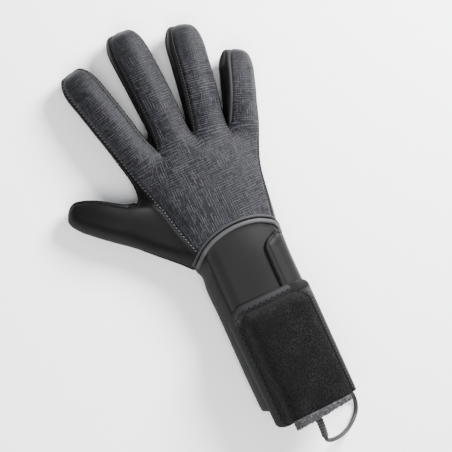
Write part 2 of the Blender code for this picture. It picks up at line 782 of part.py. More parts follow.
def lead():
    """The thin cable, as a tube along its route."""
    points = evenly(smooth_route([Vector(p) for p in LEAD_ROUTE], 8), LEAD_STEP)
    curve = bpy.data.curves.new("lead", "CURVE")
    curve.dimensions = "3D"
    spline = curve.splines.new("POLY")
    spline.points.add(len(points) - 1)
    for place, point in zip(spline.points, points):
        place.co = (*point, 1.0)
    curve.bevel_depth = 0.5 * LEAD_DIAMETER
    curve.bevel_resolution = 2
    curve.use_fill_caps = True
    obj = bpy.data.objects.new("lead", curve)
    bpy.context.scene.collection.objects.link(obj)
    return obj


def finish(name, colour, roughness):
    """A plain material in one colour."""
    material = bpy.data.materials.new(name)
    material.use_nodes = True
    shader = material.node_tree.nodes["Principled BSDF"]
    shader.inputs["Base Color"].default_value = (*colour, 1.0)
    shader.inputs["Roughness"].default_value = roughness
    shader.inputs["Metallic"].default_value = 0.0
    return material


def main():
    for obj in list(bpy.data.objects):
        bpy.data.objects.remove(obj)
    cage = Cage()
    roots = build_fingers(cage, root_rings())
    rows = build_palm(cage, roots)
    build_thumb(cage, rows)
    surface = smoothed(cage, 1)
    ribbed = finish("ribbed_fabric", (0.055, 0.058, 0.066), 0.75)
    smooth = finish("smooth_neoprene", (0.024, 0.025, 0.028), 0.5)
    for number, name in enumerate(PANELS):
        faces = [tuple(f.vertices) for f in surface.polygons if f.material_index == number]
        panel = walled(name, surface, SHELL_WALL, faces)
        panel.data.materials.append(ribbed if number == BACK else smooth)
    glove = Surface(surface, -CUFF_LENGTH + MOUTH_CURVE)
    wrist_tape(glove).data.materials.append(finish("welded_tape", (0.22, 0.23, 0.24), 0.3))
    side_placket(glove).data.materials.append(smooth)
    base_sheet = pocket_base(glove)
    base_sheet.data.materials.append(smooth)
    base = Surface(base_sheet.data, POCKET_TOP - POCKET_LENGTH)
    battery_pouch(base).data.materials.append(finish("loop_fabric", (0.012, 0.012, 0.013), 0.95))
    battery = rounded_box("battery_pack", *battery_box(base), BATTERY_EDGE, 0.7 * BATTERY_EDGE)
    battery.data.materials.append(finish("battery_case", (0.03, 0.03, 0.03), 0.4))
    felt_edge(base).data.materials.append(finish("felt", (0.10, 0.10, 0.105), 1.0))
    flap_binding(base).data.materials.append(smooth)
    rubber = finish("lead_rubber", (0.13, 0.13, 0.135), 0.45)
    strain_relief(base).data.materials.append(rubber)
    lead().data.materials.append(rubber)


main()
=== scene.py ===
# %% [markdown]
# # A heated diving glove
# This script dresses a glove that was modelled for physics. The plain solids are loaded first and stay
# where they are. Every cell after that makes one visible piece at the same place: the panels of foam
# rubber, the stitches, the tape over the wrist, the battery pocket and the lead. Units are metres, +Z
# is up and +Y points along the fingers.

import math
from collections import namedtuple

import bmesh
import bpy
import numpy as np
from mathutils import Matrix, Vector, noise
from mathutils.bvhtree import BVHTree
from mathutils.kdtree import KDTree


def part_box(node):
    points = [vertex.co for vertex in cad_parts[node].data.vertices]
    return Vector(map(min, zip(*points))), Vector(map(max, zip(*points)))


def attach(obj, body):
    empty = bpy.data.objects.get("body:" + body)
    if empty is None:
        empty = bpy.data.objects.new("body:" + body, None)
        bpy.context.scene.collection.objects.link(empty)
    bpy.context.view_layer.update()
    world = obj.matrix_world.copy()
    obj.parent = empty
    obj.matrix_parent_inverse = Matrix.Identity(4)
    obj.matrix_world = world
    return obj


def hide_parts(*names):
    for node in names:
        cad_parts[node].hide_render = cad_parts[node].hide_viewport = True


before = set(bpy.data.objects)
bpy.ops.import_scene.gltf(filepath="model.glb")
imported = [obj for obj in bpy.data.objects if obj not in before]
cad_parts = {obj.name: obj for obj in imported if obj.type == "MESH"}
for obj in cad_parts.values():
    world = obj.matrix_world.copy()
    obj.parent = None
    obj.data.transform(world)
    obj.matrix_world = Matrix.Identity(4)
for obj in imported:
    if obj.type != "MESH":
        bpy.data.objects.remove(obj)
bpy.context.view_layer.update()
random = np.random.default_rng(11)
print("the frame has", len(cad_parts), "solids")

# %% [markdown]
# ## The camera
# The photograph looks down on the back of the hand. It leans a little towards the thumb, and the hand
# is turned a quarter to the left in the picture. A long lens keeps the glove's own proportions, so the
# camera stands far back. The picture's middle is worked out from one point on the wrist whose place in
# the picture is known.

# %% Set the camera
UP = Vector((0, 0, 1))
DOWN = Vector((0, 0, -1))
LEAN = math.radians(15)
TURN = math.radians(25)
DISTANCE = 1.6
PICTURE_WIDTH = 0.3435
PICTURE_PIXELS = 452
WRIST = Vector((0, 0, 0.020))
WRIST_PIXEL = (245, 265)


def linked(name, data):
    """A new object in the scene."""
    obj = bpy.data.objects.new(name, data)
    bpy.context.scene.collection.objects.link(obj)
    return obj


looking = Vector((math.sin(LEAN), 0, -math.cos(LEAN)))
level = Vector((math.cos(LEAN), 0, math.sin(LEAN)))
forward = Vector((0, 1, 0))
picture_right = level * math.cos(TURN) - forward * math.sin(TURN)
picture_up = level * math.sin(TURN) + forward * math.cos(TURN)
pixel = PICTURE_WIDTH / PICTURE_PIXELS
half = PICTURE_PIXELS / 2
centre = WRIST + picture_right * ((half - WRIST_PIXEL[0]) * pixel)
centre += picture_up * ((WRIST_PIXEL[1] - half) * pixel)

lens = bpy.data.cameras.new("camera")
lens.lens = lens.sensor_width * DISTANCE / PICTURE_WIDTH
lens.clip_end = 20
camera = linked("camera", lens)
turned = Matrix((picture_right, picture_up, -looking)).transposed().to_4x4()
camera.matrix_world = Matrix.Translation(centre - looking * DISTANCE) @ turned
bpy.context.scene.camera = camera
print("lens", round(lens.lens), "mm")

# %% [markdown]
# ## Placing a finished piece
# Each piece is a mesh made from lists of points and faces. One function puts it in the scene, shades it
# smooth, makes it ride with the glove and hides the plain solids that it stands for. An edge sharper than
# 50 degrees stays an edge, unless the piece says otherwise.


# %% Place a piece
def placed(name, points, faces, slot, stands_for=(), sharp=50):
    mesh = bpy.data.meshes.new(name)
    mesh.from_pydata([tuple(p) for p in points], [], [tuple(f) for f in faces])
    shape = bmesh.new()
    shape.from_mesh(mesh)
    bmesh.ops.recalc_face_normals(shape, faces=shape.faces)
    shape.to_mesh(mesh)
    shape.free()
    mesh.shade_smooth()
    mesh.set_sharp_from_angle(angle=math.radians(sharp))
    return owned(name, mesh, stands_for)


def owned(name, mesh, stands_for=()):
    obj = linked(name, mesh)
    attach(obj, "root")
    if stands_for:
        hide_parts(*stands_for)
    return obj


def spread(start, end, count):
    return [start + (end - start) * i / (count - 1) for i in range(count)]


def clamp(value, low=0.0, high=1.0):
    return max(low, min(high, value))


def surface_of(obj):
    """The finished surface of a piece, to look for places on."""
    return BVHTree.FromObject(obj, bpy.context.evaluated_depsgraph_get())


# %% [markdown]
# ## The lead
# A thin soft lead leaves the battery through a ribbed boot and drops to the table in one loop. It goes
# back up under the pocket's corner, into the mouth of the cuff. A curve with a round section is the
# simplest true model of a cable: its points are the route that it lies along, and its bevel is its
# thickness. It is turned into a mesh at the end, because a curve's own bounds reach far past its surface.


# %% Lay the lead
LEAD_DIAMETER = 0.0034
LEAD_ROUTE = [
    (-0.0045, -0.1423, 0.0388),
    (-0.0042, -0.1440, 0.0372),
    (-0.0026, -0.1457, 0.0348),
    (0.0006, -0.1470, 0.0320),
    (0.0050, -0.1478, 0.0282),
    (0.0110, -0.1482, 0.0225),
    (0.0170, -0.1479, 0.0160),
    (0.0235, -0.1466, 0.0096),
    (0.0296, -0.1440, 0.0048),
    (0.0346, -0.1402, 0.0024),
    (0.0378, -0.1352, 0.0019),
    (0.0388, -0.1296, 0.0030),
    (0.0376, -0.1242, 0.0068),
    (0.0349, -0.1197, 0.0122),
    (0.0316, -0.1157, 0.0180),
    (0.0286, -0.1116, 0.0228),
    (0.0264, -0.1076, 0.0262),
    (0.0250, -0.1038, 0.0283),
]


def smooth_route(points, steps):
    """Points on a smooth curve through the given ones."""
    ends = [2 * points[0] - points[1], *points, 2 * points[-1] - points[-2]]
    route = []
    for a, b, c, d in zip(ends, ends[1:], ends[2:], ends[3:]):
        for step in range(steps):
            t = step / steps
            bent = (2 * a - 5 * b + 4 * c - d) * t**2 + (3 * b - a - 3 * c + d) * t**3
            route.append(0.5 * (2 * b + (c - a) * t + bent))
    return [*route, points[-1]]


route = smooth_route([Vector(p) for p in LEAD_ROUTE], 6)
curve = bpy.data.curves.new("lead_cable", "CURVE")
curve.dimensions = "3D"
spline = curve.splines.new("POLY")
spline.points.add(len(route) - 1)
for place, point in zip(spline.points, route):
    place.co = (*point, 1)
curve.bevel_depth = LEAD_DIAMETER / 2
curve.bevel_resolution = 5
curve.use_fill_caps = True
line = linked("lead_line", curve)
graph = bpy.context.evaluated_depsgraph_get()
cable = bpy.data.meshes.new_from_object(line.evaluated_get(graph))
cable.shade_smooth()
bpy.data.objects.remove(line)
lead = owned("lead_cable", cable, ["lead"])

# %% [markdown]
# ## The hand's sizes
# The glove is one skin drawn through a cage of few points. The tables hold the sizes of its fingers and
# its rows, the same as in the plain solids, so that the smooth skin lies on them.

# %% Sizes and tables
SHELL_WALL = 0.0035
SEAM_GAP = 0.0004
LAY_GAP = 0.0005
FINGER_LENGTH = 0.0905
FINGER_WIDTH = 0.030
FINGER_DEPTH = 0.0265
FINGER_BOW = 0.003
KNUCKLE_SPAN = 0.0863
PALM_LENGTH = 0.111
PALM_DEPTH = 0.040
WEB_WIDTH = 0.0032
WEB_SLOPE = 0.011
ROOT_LENGTH = 0.0145
WRIST_WIDTH = 0.0685
WRIST_DEPTH = 0.0405
THUMB_REACH = 0.105
THUMB_ALONG = 0.092
THUMB_LENGTH = 0.040
THUMB_WIDTH = 0.0305
THUMB_DEPTH = 0.0275
CUFF_LENGTH = 0.110
CUFF_WIDTH = 0.0700
CUFF_DEPTH = 0.0385
SEAM_PLACE = 0.009
ARCH_RISE = 0.022
THUMB_SEAM_LIFT = 0.004
MOUTH_CURVE = 0.005

# From the index finger to the little finger. Sizes are shares of the hand's sizes, angles are degrees.
Finger = namedtuple("Finger", "root_x root_y splay roll length width")
FINGERS = [
    Finger(-0.480, 0.962, 12.9, -10.0, 0.915, 0.93),
    Finger(-0.114, 1.000, 1.5, 4.0, 1.000, 0.99),
    Finger(0.222, 0.975, -10.8, 14.0, 0.905, 0.98),
    Finger(0.524, 0.905, -21.2, 26.0, 0.640, 0.92),
]
Ring = namedtuple("Ring", "along size")
FINGER_RINGS = [Ring(0.40, 1.00), Ring(0.66, 1.00)]
ROOT_SIZE = 0.97
ROOT_ROLL = 0.40
TIP_SHOULDER = Ring(0.95, 0.97)
TIP_ROUND = Ring(0.26, 0.72)
RING_ANGLES = [0, 62, 90, 118, 180, -118, -90, -62]

# Behind the knuckles, at the thumb's web and at its root.
Row = namedtuple("Row", "toward_wrist drawn_in crown squareness lift")
PALM_ROWS = [
    Row(0.19, 0.038, 0.90, 2.4, 0.10),
    Row(0.40, 0.062, 0.97, 2.5, 0.05),
    Row(0.68, 0.035, 1.00, 2.5, 0.00),
]
THUMB_WEB_PLACE = Vector((-0.64 * KNUCKLE_SPAN, 0.69 * PALM_LENGTH, 0.45 * PALM_DEPTH))
THUMB_POINTS_AWAY = 53.0
THUMB_ROLL = 38.0
THUMB_SWELL = 0.55

CuffRow = namedtuple("CuffRow", "along width depth rise side_lift")
CUFF_ROWS = [
    CuffRow(-CUFF_LENGTH, CUFF_WIDTH, CUFF_DEPTH, 0.0, MOUTH_CURVE),
    CuffRow(-0.0682, CUFF_WIDTH, CUFF_DEPTH, 0.0, 0.0),
    CuffRow(-0.0275, WRIST_WIDTH, CUFF_DEPTH, 0.0, 0.0),
    CuffRow(-0.0030, WRIST_WIDTH, WRIST_DEPTH, 0.0092, 0.0),
]
SEAM_ROW = CuffRow(SEAM_PLACE, 1.06 * WRIST_WIDTH, WRIST_DEPTH, ARCH_RISE, 0.0)
# Places in a ring of 26 points round the hand, that starts on the thumb's side and runs over the back.
MIDDLE, LITTLE_SIDE, PALM_END, THUMB_SIDE = 5, 12, 24, 25
CUFF_START = -62.0
CUFF_STEPS = [0, 12, 12, 8, 12, 12, 8, 12, 12, 8, 12, 14]

PANELS = ["back_panel", "palm_panel", "thumb_panel", "fourchette_index_middle", "fourchette_middle_ring",
          "fourchette_ring_little", "cuff"]
BACK, PALM, THUMB, FOURCHETTE, CUFF = 0, 1, 2, 3, 6
print("sizes for", len(FINGERS), "fingers and", len(PANELS), "panels")

# %% [markdown]
# ## The cage
# Each point of the cage carries three more numbers for the cloth: how far across and how far along the
# back of the hand it lies, measured on the cloth, and how clearly its ribs show. The third number is
# painted shade: it makes the ribs' light threads fainter towards the fingertips and on the shaded side
# towards the thumb. All three are smoothed with the shape, so the ribs turn with each finger. A flat
# projection would smear them down the fingers' sides.


# %% A cage that remembers its cloth
class Cage:
    def __init__(self):
        self.points = []
        self.cloth = []
        self.faces = []
        self.panels = []

    def point(self, place, cloth=(0.0, 0.0, 1.0)):
        self.points.append(Vector(place))
        self.cloth.append(cloth)
        return len(self.points) - 1

    def face(self, panel, *corners):
        self.faces.append(corners)
        self.panels.append(panel)

    def band(self, lower, upper, panel_of):
        for i in range(len(lower)):
            j = (i + 1) % len(lower)
            panel = panel_of(i)
            if panel is not None:
                self.face(panel, lower[i], lower[j], upper[j], upper[i])


def rounded(share, squareness):
    return max(0.0, 1.0 - abs(share) ** squareness) ** (1.0 / squareness)


def around(ring, middle):
    """How far each point of a closed ring lies from its middle point, measured along the ring."""
    count = len(ring)
    reach = [0.0] * count
    for step in range(1, count // 2 + 1):
        ahead, before = (middle + step) % count, (middle + step - 1) % count
        reach[ahead] = reach[before] + (ring[ahead] - ring[before]).length
    for step in range(1, (count - 1) // 2 + 1):
        behind, after = (middle - step) % count, (middle - step + 1) % count
        reach[behind] = reach[after] - (ring[behind] - ring[after]).length
    return reach


# %% The fingers' rings
WEB_MIDDLE = 0.3
WEB_STEEP = 0.47


def pointing(degrees):
    """A level direction, turned from straight ahead towards the thumb."""
    angle = math.radians(degrees)
    return Vector((-math.sin(angle), math.cos(angle), 0.0))


def oval(middle, axis, roll, half_width, half_depth):
    """A ring of points round a finger or the thumb, turned about its axis."""
    across = axis.cross(UP)
    side = across * math.cos(roll) + UP * math.sin(roll)
    up = UP * math.cos(roll) - across * math.sin(roll)
    angles = [math.radians(degrees) for degrees in RING_ANGLES]
    return [middle + side * (half_width * math.sin(a)) + up * (half_depth * math.cos(a)) for a in angles]


def finger_ring(finger, along, size, slope=0.0):
    """One ring of a finger. At the root the slope pushes its palm side ahead of its back."""
    axis = pointing(finger.splay)
    share = along / (finger.length * FINGER_LENGTH)
    root = Vector((finger.root_x * KNUCKLE_SPAN, finger.root_y * PALM_LENGTH, 0.50 * PALM_DEPTH))
    height = root.z + (0.5 * FINGER_DEPTH - root.z) * share + FINGER_BOW * math.sin(math.pi * share)
    middle = Vector((root.x, root.y, height)) + axis * along
    roll = math.radians(finger.roll) * min(1.0, ROOT_ROLL + (1.0 - ROOT_ROLL) * along / (2 * ROOT_LENGTH))
    ring = oval(middle, axis, -roll, 0.5 * finger.width * FINGER_WIDTH * size, 0.5 * FINGER_DEPTH * size)
    rises = [clamp(math.cos(math.radians(degrees)), -WEB_STEEP, WEB_STEEP) for degrees in RING_ANGLES]
    return [place + axis * (slope * (WEB_MIDDLE - rise)) for place, rise in zip(ring, rises)]


def root_rings():
    rings = [finger_ring(finger, 0.0, ROOT_SIZE, WEB_SLOPE) for finger in FINGERS]
    for left, right in zip(rings, rings[1:]):
        for a, b in ((1, 7), (2, 6), (3, 5)):
            middle = (left[a] + right[b]) / 2
            apart = (right[b] - left[a]).to_2d().to_3d()
            across = Vector((1, 0, 0)) if apart.x <= 0 else apart.normalized()
            left[a] = middle - across * (WEB_WIDTH / 2)
            right[b] = middle + across * (WEB_WIDTH / 2)
    return rings


# %% Build the fingers
def painted_rib_shade(share, degrees):
    """Painted shade: the ribs' light threads fade towards the fingertips, most on the shaded thumb side.
    """
    toward_thumb = 0.5 - 0.5 * math.sin(math.radians(degrees))
    return 1.0 - clamp((share - 0.45) / 0.5) * (0.30 + 0.65 * toward_thumb)


def finger_cloth(finger, ring, along, start):
    """The cloth numbers of a finger's ring. start is where the finger's root lies across the hand."""
    axis = pointing(finger.splay)
    middle = sum(ring, Vector()) / len(ring)
    share = along / (finger.length * FINGER_LENGTH)
    rows = zip(ring, around(ring, 0), RING_ANGLES)
    base = finger.root_y * PALM_LENGTH + along
    return [(start + reach, base + (p - middle).dot(axis), painted_rib_shade(share, degrees))
            for p, reach, degrees in rows]


def knuckle_row(roots):
    row = [root[k] for root in roots for k in (7, 0, 1)]
    row.append(roots[3][2])
    row += [root[k] for root in reversed(roots) for k in (3, 4, 5)]
    row.append(roots[0][6])
    return row


def build_fingers(cage, roots):
    points = knuckle_row(roots)
    reach = around(points, MIDDLE)
    found = []
    for number, (finger, root) in enumerate(zip(FINGERS, roots)):
        length = finger.length * FINGER_LENGTH
        half_width = 0.5 * finger.width * FINGER_WIDTH
        start = points[MIDDLE].x + reach[3 * number + 1]
        lower = [cage.point(p, c) for p, c in zip(root, finger_cloth(finger, root, 0.0, start))]
        found.append(lower)
        left = FOURCHETTE + number - 1 if number else THUMB
        left_low = left if number else PALM
        right = FOURCHETTE + number if number < 3 else PALM
        sides = [BACK, right, right, PALM, PALM, left_low, left, BACK]
        rings = [Ring(ROOT_LENGTH, ROOT_SIZE)]
        rings += [Ring(r.along * length, r.size) for r in FINGER_RINGS]
        rings.append(Ring(length - TIP_SHOULDER.along * half_width, TIP_SHOULDER.size))
        rings.append(Ring(length - TIP_ROUND.along * half_width, TIP_ROUND.size))
        for ring in rings:
            places = finger_ring(finger, ring.along, ring.size)
            cloth = finger_cloth(finger, places, ring.along, start)
            upper = [cage.point(p, c) for p, c in zip(places, cloth)]
            cage.band(lower, upper, lambda i: sides[i])
            lower = upper
        end = finger_ring(finger, length, 0.0)[0]
        # The tip's last cloth number, 0.05, is painted shade: the ribs' light threads almost vanish there.
        tip = cage.point((end.x, end.y, end.z - 0.12 * FINGER_DEPTH),
                         (start, finger.root_y * PALM_LENGTH + length, 0.05))
        for first, panel in ((7, BACK), (1, right), (3, PALM), (5, left)):
            cage.face(panel, lower[first], lower[(first + 1) % 8], lower[(first + 2) % 8], tip)
    for number in range(3):
        a, b = found[number], found[number + 1]
        cage.face(FOURCHETTE + number, a[1], b[7], b[6], a[2])
        cage.face(FOURCHETTE + number, a[2], b[6], b[5], a[3])
    return found


# %% The palm and the cuff
def cuff_ring(row):
    back = CUFF_START + np.cumsum(CUFF_STEPS)
    angles = [*back, 92.0, *(180.0 - back[::-1] * 0.98), -92.0]
    half_width, half_depth = 0.5 * row.width, 0.5 * row.depth
    points = []
    for degrees in angles:
        up = math.cos(math.radians(degrees))
        across = math.sin(math.radians(degrees))
        height = half_depth * (1 + up**0.75) if up > 0 else half_depth * (1 - 1.04 * (-up) ** 0.5)
        arch = max(0.0, math.cos(math.radians(degrees * 1.05))) ** 0.8 if abs(degrees) < 85 else 0.0
        along = row.along + row.rise * arch + row.side_lift * across**4
        points.append(Vector((half_width * across, along, height)))
    return points


def wrist_seam():
    ring = cuff_ring(SEAM_ROW)
    for i in (PALM_END, THUMB_SIDE):
        ring[i].y += THUMB_SEAM_LIFT
    return ring


def seam_at(x):
    """Where the wrist's seam lies along the glove, on its back."""
    ring = wrist_seam()[: LITTLE_SIDE + 1]
    return float(np.interp(x, [p.x for p in ring], [p.y for p in ring]))


def palm_ring(row, knuckles, seam):
    points = []
    crown = row.crown * PALM_DEPTH
    lift = row.lift * PALM_DEPTH
    left, right = (knuckles[i].lerp(seam[i], row.toward_wrist).x for i in (THUMB_SIDE, LITTLE_SIDE))
    middle, half_width = (left + right) / 2, (right - left) / 2
    side_height = lift + 0.46 * (crown - lift)
    for i, (a, b) in enumerate(zip(knuckles, seam)):
        p = a.lerp(b, row.toward_wrist)
        share = clamp((p.x - middle) / half_width, -1.0, 1.0)
        p.x -= row.drawn_in * KNUCKLE_SPAN * max(0.0, share)
        if i < LITTLE_SIDE:
            p.z = side_height + (crown - side_height) * rounded(share, row.squareness)
        elif LITTLE_SIDE < i < THUMB_SIDE:
            p.z = side_height + (lift - side_height) * rounded(share, 3.2)
        else:
            p.z = side_height
        points.append(p)
    return points


def build_palm(cage, roots):
    knuckles = knuckle_row(roots)
    knuckle_points = [cage.points[i] for i in knuckles]
    seam = wrist_seam()
    rings = [palm_ring(row, knuckle_points, seam) for row in PALM_ROWS]
    rings[1][THUMB_SIDE] = THUMB_WEB_PLACE.copy()
    cuff = [cuff_ring(row) for row in CUFF_ROWS]
    rows = []
    for ring in (*cuff, seam, *reversed(rings)):
        reach = around(ring, MIDDLE)
        rows.append([cage.point(p, (ring[MIDDLE].x + r, p.y, 1.0)) for p, r in zip(ring, reach)])
    rows.append(knuckles)
    for number, (lower, upper) in enumerate(zip(rows, rows[1:])):
        thumb_here = len(cuff) <= number < len(cuff) + 2

        def panel_of(i, number=number, thumb_here=thumb_here):
            if number < len(cuff):
                return CUFF
            if i < LITTLE_SIDE - 1:
                return BACK
            if i < PALM_END:
                return PALM
            if thumb_here:
                return None
            return PALM if i == PALM_END else THUMB

        cage.band(lower, upper, panel_of)
    return rows


# %% The thumb
def thumb_ring(from_tip, size, height):
    axis = pointing(THUMB_POINTS_AWAY)
    middle = Vector((-THUMB_REACH, THUMB_ALONG, height)) - axis * from_tip
    roll = math.radians(THUMB_ROLL)
    return oval(middle, axis, roll, 0.5 * THUMB_WIDTH * size, 0.5 * THUMB_DEPTH * size)


def build_thumb(cage, rows):
    seam_row, root_row, web_row = rows[4], rows[5], rows[6]
    base = [root_row[0], web_row[0], web_row[THUMB_SIDE], web_row[PALM_END]]
    base += [root_row[PALM_END], seam_row[PALM_END], seam_row[THUMB_SIDE], seam_row[0]]
    free = [
        thumb_ring(THUMB_LENGTH, 1.0, 0.56 * THUMB_DEPTH),
        thumb_ring(0.62 * THUMB_LENGTH, 0.92, 0.52 * THUMB_DEPTH),
        thumb_ring(0.44 * THUMB_WIDTH, 0.82, 0.46 * THUMB_DEPTH),
        thumb_ring(0.12 * THUMB_WIDTH, 0.58, 0.44 * THUMB_DEPTH),
    ]
    swell = [cage.points[i].lerp(p, THUMB_SWELL) for i, p in zip(base, free[0])]
    lower = base
    sides = [THUMB, THUMB, PALM, PALM, PALM, PALM, THUMB, THUMB]
    for points in (swell, *free):
        upper = [cage.point(p) for p in points]
        cage.band(lower, upper, lambda i: sides[i])
        lower = upper
    end = cage.point((-THUMB_REACH, THUMB_ALONG, 0.44 * THUMB_DEPTH))
    for first, panel in ((0, THUMB), (2, PALM), (4, PALM), (6, THUMB)):
        cage.face(panel, lower[first], lower[first + 1], lower[(first + 2) % 8], end)


cage = Cage()
finger_roots = build_fingers(cage, root_rings())
glove_rows = build_palm(cage, finger_roots)
build_thumb(cage, glove_rows)
print("the cage has", len(cage.points), "points and", len(cage.faces), "faces")

# %% [markdown]
# ## From the cage to the skin
# A Subdivision Surface rounds a cage but also shrinks it, so the cage is first pushed out, a few times
# over, until the smooth skin passes through the wanted points. Sculpting the skin by hand would be
# slower, and it would no longer follow the sizes.


# %% Smooth the skin
SKIN_LEVELS = 4
SKIN_ROUNDS = 8
SKIN_PUSH = 0.9


def smoothed(cage):
    mesh = bpy.data.meshes.new("skin")
    mesh.from_pydata([tuple(p) for p in cage.points], [], cage.faces)
    for _ in PANELS:
        mesh.materials.append(None)
    mesh.polygons.foreach_set("material_index", cage.panels)
    cloth = mesh.attributes.new("cloth", "FLOAT_VECTOR", "POINT")
    cloth.data.foreach_set("vector", np.array(cage.cloth, dtype=np.float32).ravel())
    obj = linked("skin", mesh)
    modifier = obj.modifiers.new("smooth", "SUBSURF")
    modifier.use_limit_surface = True
    modifier.levels = modifier.render_levels = 1
    wanted = np.array(cage.points)
    guess = wanted.copy()
    for step in range(SKIN_ROUNDS + 1):
        mesh.vertices.foreach_set("co", guess.ravel())
        mesh.update()
        if step == SKIN_ROUNDS:
            modifier.levels = modifier.render_levels = SKIN_LEVELS
        graph = bpy.context.evaluated_depsgraph_get()
        graph.update()
        made = obj.evaluated_get(graph)
        found = np.array([made.data.vertices[i].co for i in range(len(wanted))])
        guess += SKIN_PUSH * (wanted - found)
    skin = bpy.data.meshes.new_from_object(made)
    bpy.data.objects.remove(obj)
    return skin


def rim(quads):
    """The edges of some faces that no other of those faces shares, from each point to the next."""
    start, end = quads.ravel(), np.roll(quads, -1, axis=1).ravel()
    many = int(quads.max()) + 1
    alone = ~np.isin(start * many + end, end * many + start)
    return dict(zip(start[alone].tolist(), end[alone].tolist()))


class Skin:
    """The smooth outer surface of the glove as arrays, with the faces of each panel."""

    def __init__(self, mesh):
        self.points = numbers(mesh.vertices, "co", 3)
        self.points[:, 2] = np.maximum(self.points[:, 2], 0.0)
        self.normals = numbers(mesh.vertices, "normal", 3)
        self.cloth = numbers(mesh.attributes["cloth"].data, "vector", 3)
        self.quads = numbers(mesh.loops, "vertex_index", 1, int).reshape(-1, 4)
        self.panels = numbers(mesh.polygons, "material_index", 1, int).ravel()
        self.rims = [rim(self.quads[self.panels == number]) for number in range(len(PANELS))]
        self.tree = BVHTree.FromPolygons(self.points.tolist(), self.quads.tolist())


def numbers(rows, key, size, kind=float):
    """One value of every row, which holds size numbers, read into an array."""
    found = np.empty(len(rows) * size, dtype=np.int32 if kind is int else np.float32)
    rows.foreach_get(key, found)
    return found.astype(kind).reshape(-1, size)


skin = Skin(smoothed(cage))
print("the skin has", len(skin.points), "points; its panels have",
      [int((skin.panels == number).sum()) for number in range(len(PANELS))], "faces")

# %% [markdown]
# ## Seams between the panels
# Real panels are glued edge to edge and stitched, so the skin sinks along each seam and swells a little
# beside it. Here every point is moved by its distance to the nearest seam. This keeps one set of points
# for all panels, so their edges still meet.

# %% Sink the seams
SEAM_DEPTH = 0.0009
SEAM_HALF_WIDTH = 0.0012
SEAM_SWELL = 0.0003
MOUTH_END = -0.095

seam_points = sorted({i for rim_of in skin.rims for i in rim_of if skin.points[i][1] > MOUTH_END})
near = KDTree(len(seam_points))
for number, i in enumerate(seam_points):
    near.insert(skin.points[i], number)
near.balance()
distance = np.array([near.find(p)[2] for p in skin.points])
dip = SEAM_DEPTH * np.exp(-((distance / SEAM_HALF_WIDTH) ** 2))
dip -= SEAM_SWELL * np.exp(-(((distance - 2.6 * SEAM_HALF_WIDTH) / (1.2 * SEAM_HALF_WIDTH)) ** 2))
outer = skin.points - skin.normals * dip[:, None]
outer[:, 2] = np.maximum(outer[:, 2], 0.0)
print("seams sink", round(1000 * float(dip.max()), 2), "mm")

# %% [markdown]
# ## A sheet with a thickness
# Foam rubber is a thick sheet, so each panel gets an inner side and a rim. The rim can be rounded
# outwards, which a free edge such as the cuff's mouth needs. A Solidify modifier would do nearly the
# same, but it can't round only some of the edges.


# %% Give a sheet its wall
RIM_STEPS = 3
TINY = 1e-12


def thick(points, normals, faces, wall, reach):
    """A sheet's points and faces with a wall behind. Its rim stands out by its reach, at each point."""
    count = len(points)
    reach = np.broadcast_to(reach, count)
    after = rim(faces)
    before = {end: start for start, end in after.items()}
    edge = np.array(sorted(after))
    along = np.array([points[after[i]] - points[before[i]] for i in edge.tolist()])
    out = np.cross(along, normals[edge])
    out /= np.linalg.norm(out, axis=1)[:, None] + TINY
    places = [points, points - normals * wall]
    rings = [edge]
    for step in range(1, RIM_STEPS + 1):
        turn = math.pi * step / (RIM_STEPS + 1)
        ring = points[edge] - normals[edge] * (0.5 * (1 - math.cos(turn)) * wall)
        places.append(ring + out * (math.sin(turn) * reach[edge])[:, None])
        rings.append(2 * count + (step - 1) * len(edge) + np.arange(len(edge)))
    rings.append(edge + count)
    place_of = {i: k for k, i in enumerate(edge.tolist())}
    follow = np.array([place_of[after[i]] for i in edge.tolist()])
    made = [faces, faces[:, ::-1] + count]
    made += [np.stack([a[follow], a, b, b[follow]], axis=1) for a, b in zip(rings, rings[1:])]
    return np.concatenate(places), np.concatenate(made)


def panel(name, number, slot="smooth_neoprene"):
    """One panel of the skin with its wall, a little smaller than its share, so that a seam stays open."""
    quads = skin.quads[skin.panels == number]
    used, index = np.unique(quads, return_inverse=True)
    faces = index.reshape(-1, 4)
    points, normals = outer[used].copy(), skin.normals[used]
    after = rim(faces)
    before = {end: start for start, end in after.items()}
    for i, j in after.items():
        inward = np.cross(normals[i], skin.points[used[j]] - skin.points[used[before[i]]])
        points[i] += inward / (np.linalg.norm(inward) + TINY) * SEAM_GAP / 2
    reach = np.where(points[:, 1] < MOUTH_END, 0.45 * SHELL_WALL, 0.0)
    places, all_faces = thick(points, normals, faces, SHELL_WALL, reach)
    obj = placed(name, places, all_faces, slot, [PANELS[number]])
    cloth = obj.data.attributes.new("cloth", "FLOAT_VECTOR", "POINT")
    values = np.zeros((len(places), 3), dtype=np.float32)
    values[: len(used)] = skin.cloth[used]
    values[len(used) : 2 * len(used)] = skin.cloth[used]
    cloth.data.foreach_set("vector", values.ravel())
    print(name, len(obj.data.polygons), "faces")
    return obj


# %% Cut the panels
back = panel("back_of_hand", BACK, "ribbed_fabric")
palm = panel("palm_side", PALM)
thumb = panel("thumb_side", THUMB)
cuff = panel("long_cuff", CUFF)
side_walls = [panel(f"side_wall_{number + 1}", FOURCHETTE + number) for number in range(3)]

# %% [markdown]
# ## Stitches
# A stitch is a short piece of thread that comes up out of the cloth and goes back in. Each one is a
# small bent capsule, set at even steps along a line on the glove. As real shapes they catch the light
# and cast small shadows, which a painted dash doesn't.


# %% Walk along a line
def evenly(points, spacing):
    """Places at nearly equal steps along a line of points."""
    points = np.array(points)
    steps = np.concatenate([[0], np.cumsum(np.linalg.norm(np.diff(points, axis=0), axis=1))])
    count = max(2, round(steps[-1] / spacing) + 1)
    wanted = np.linspace(0, steps[-1], count)
    return np.stack([np.interp(wanted, steps, points[:, k]) for k in range(3)], axis=1)


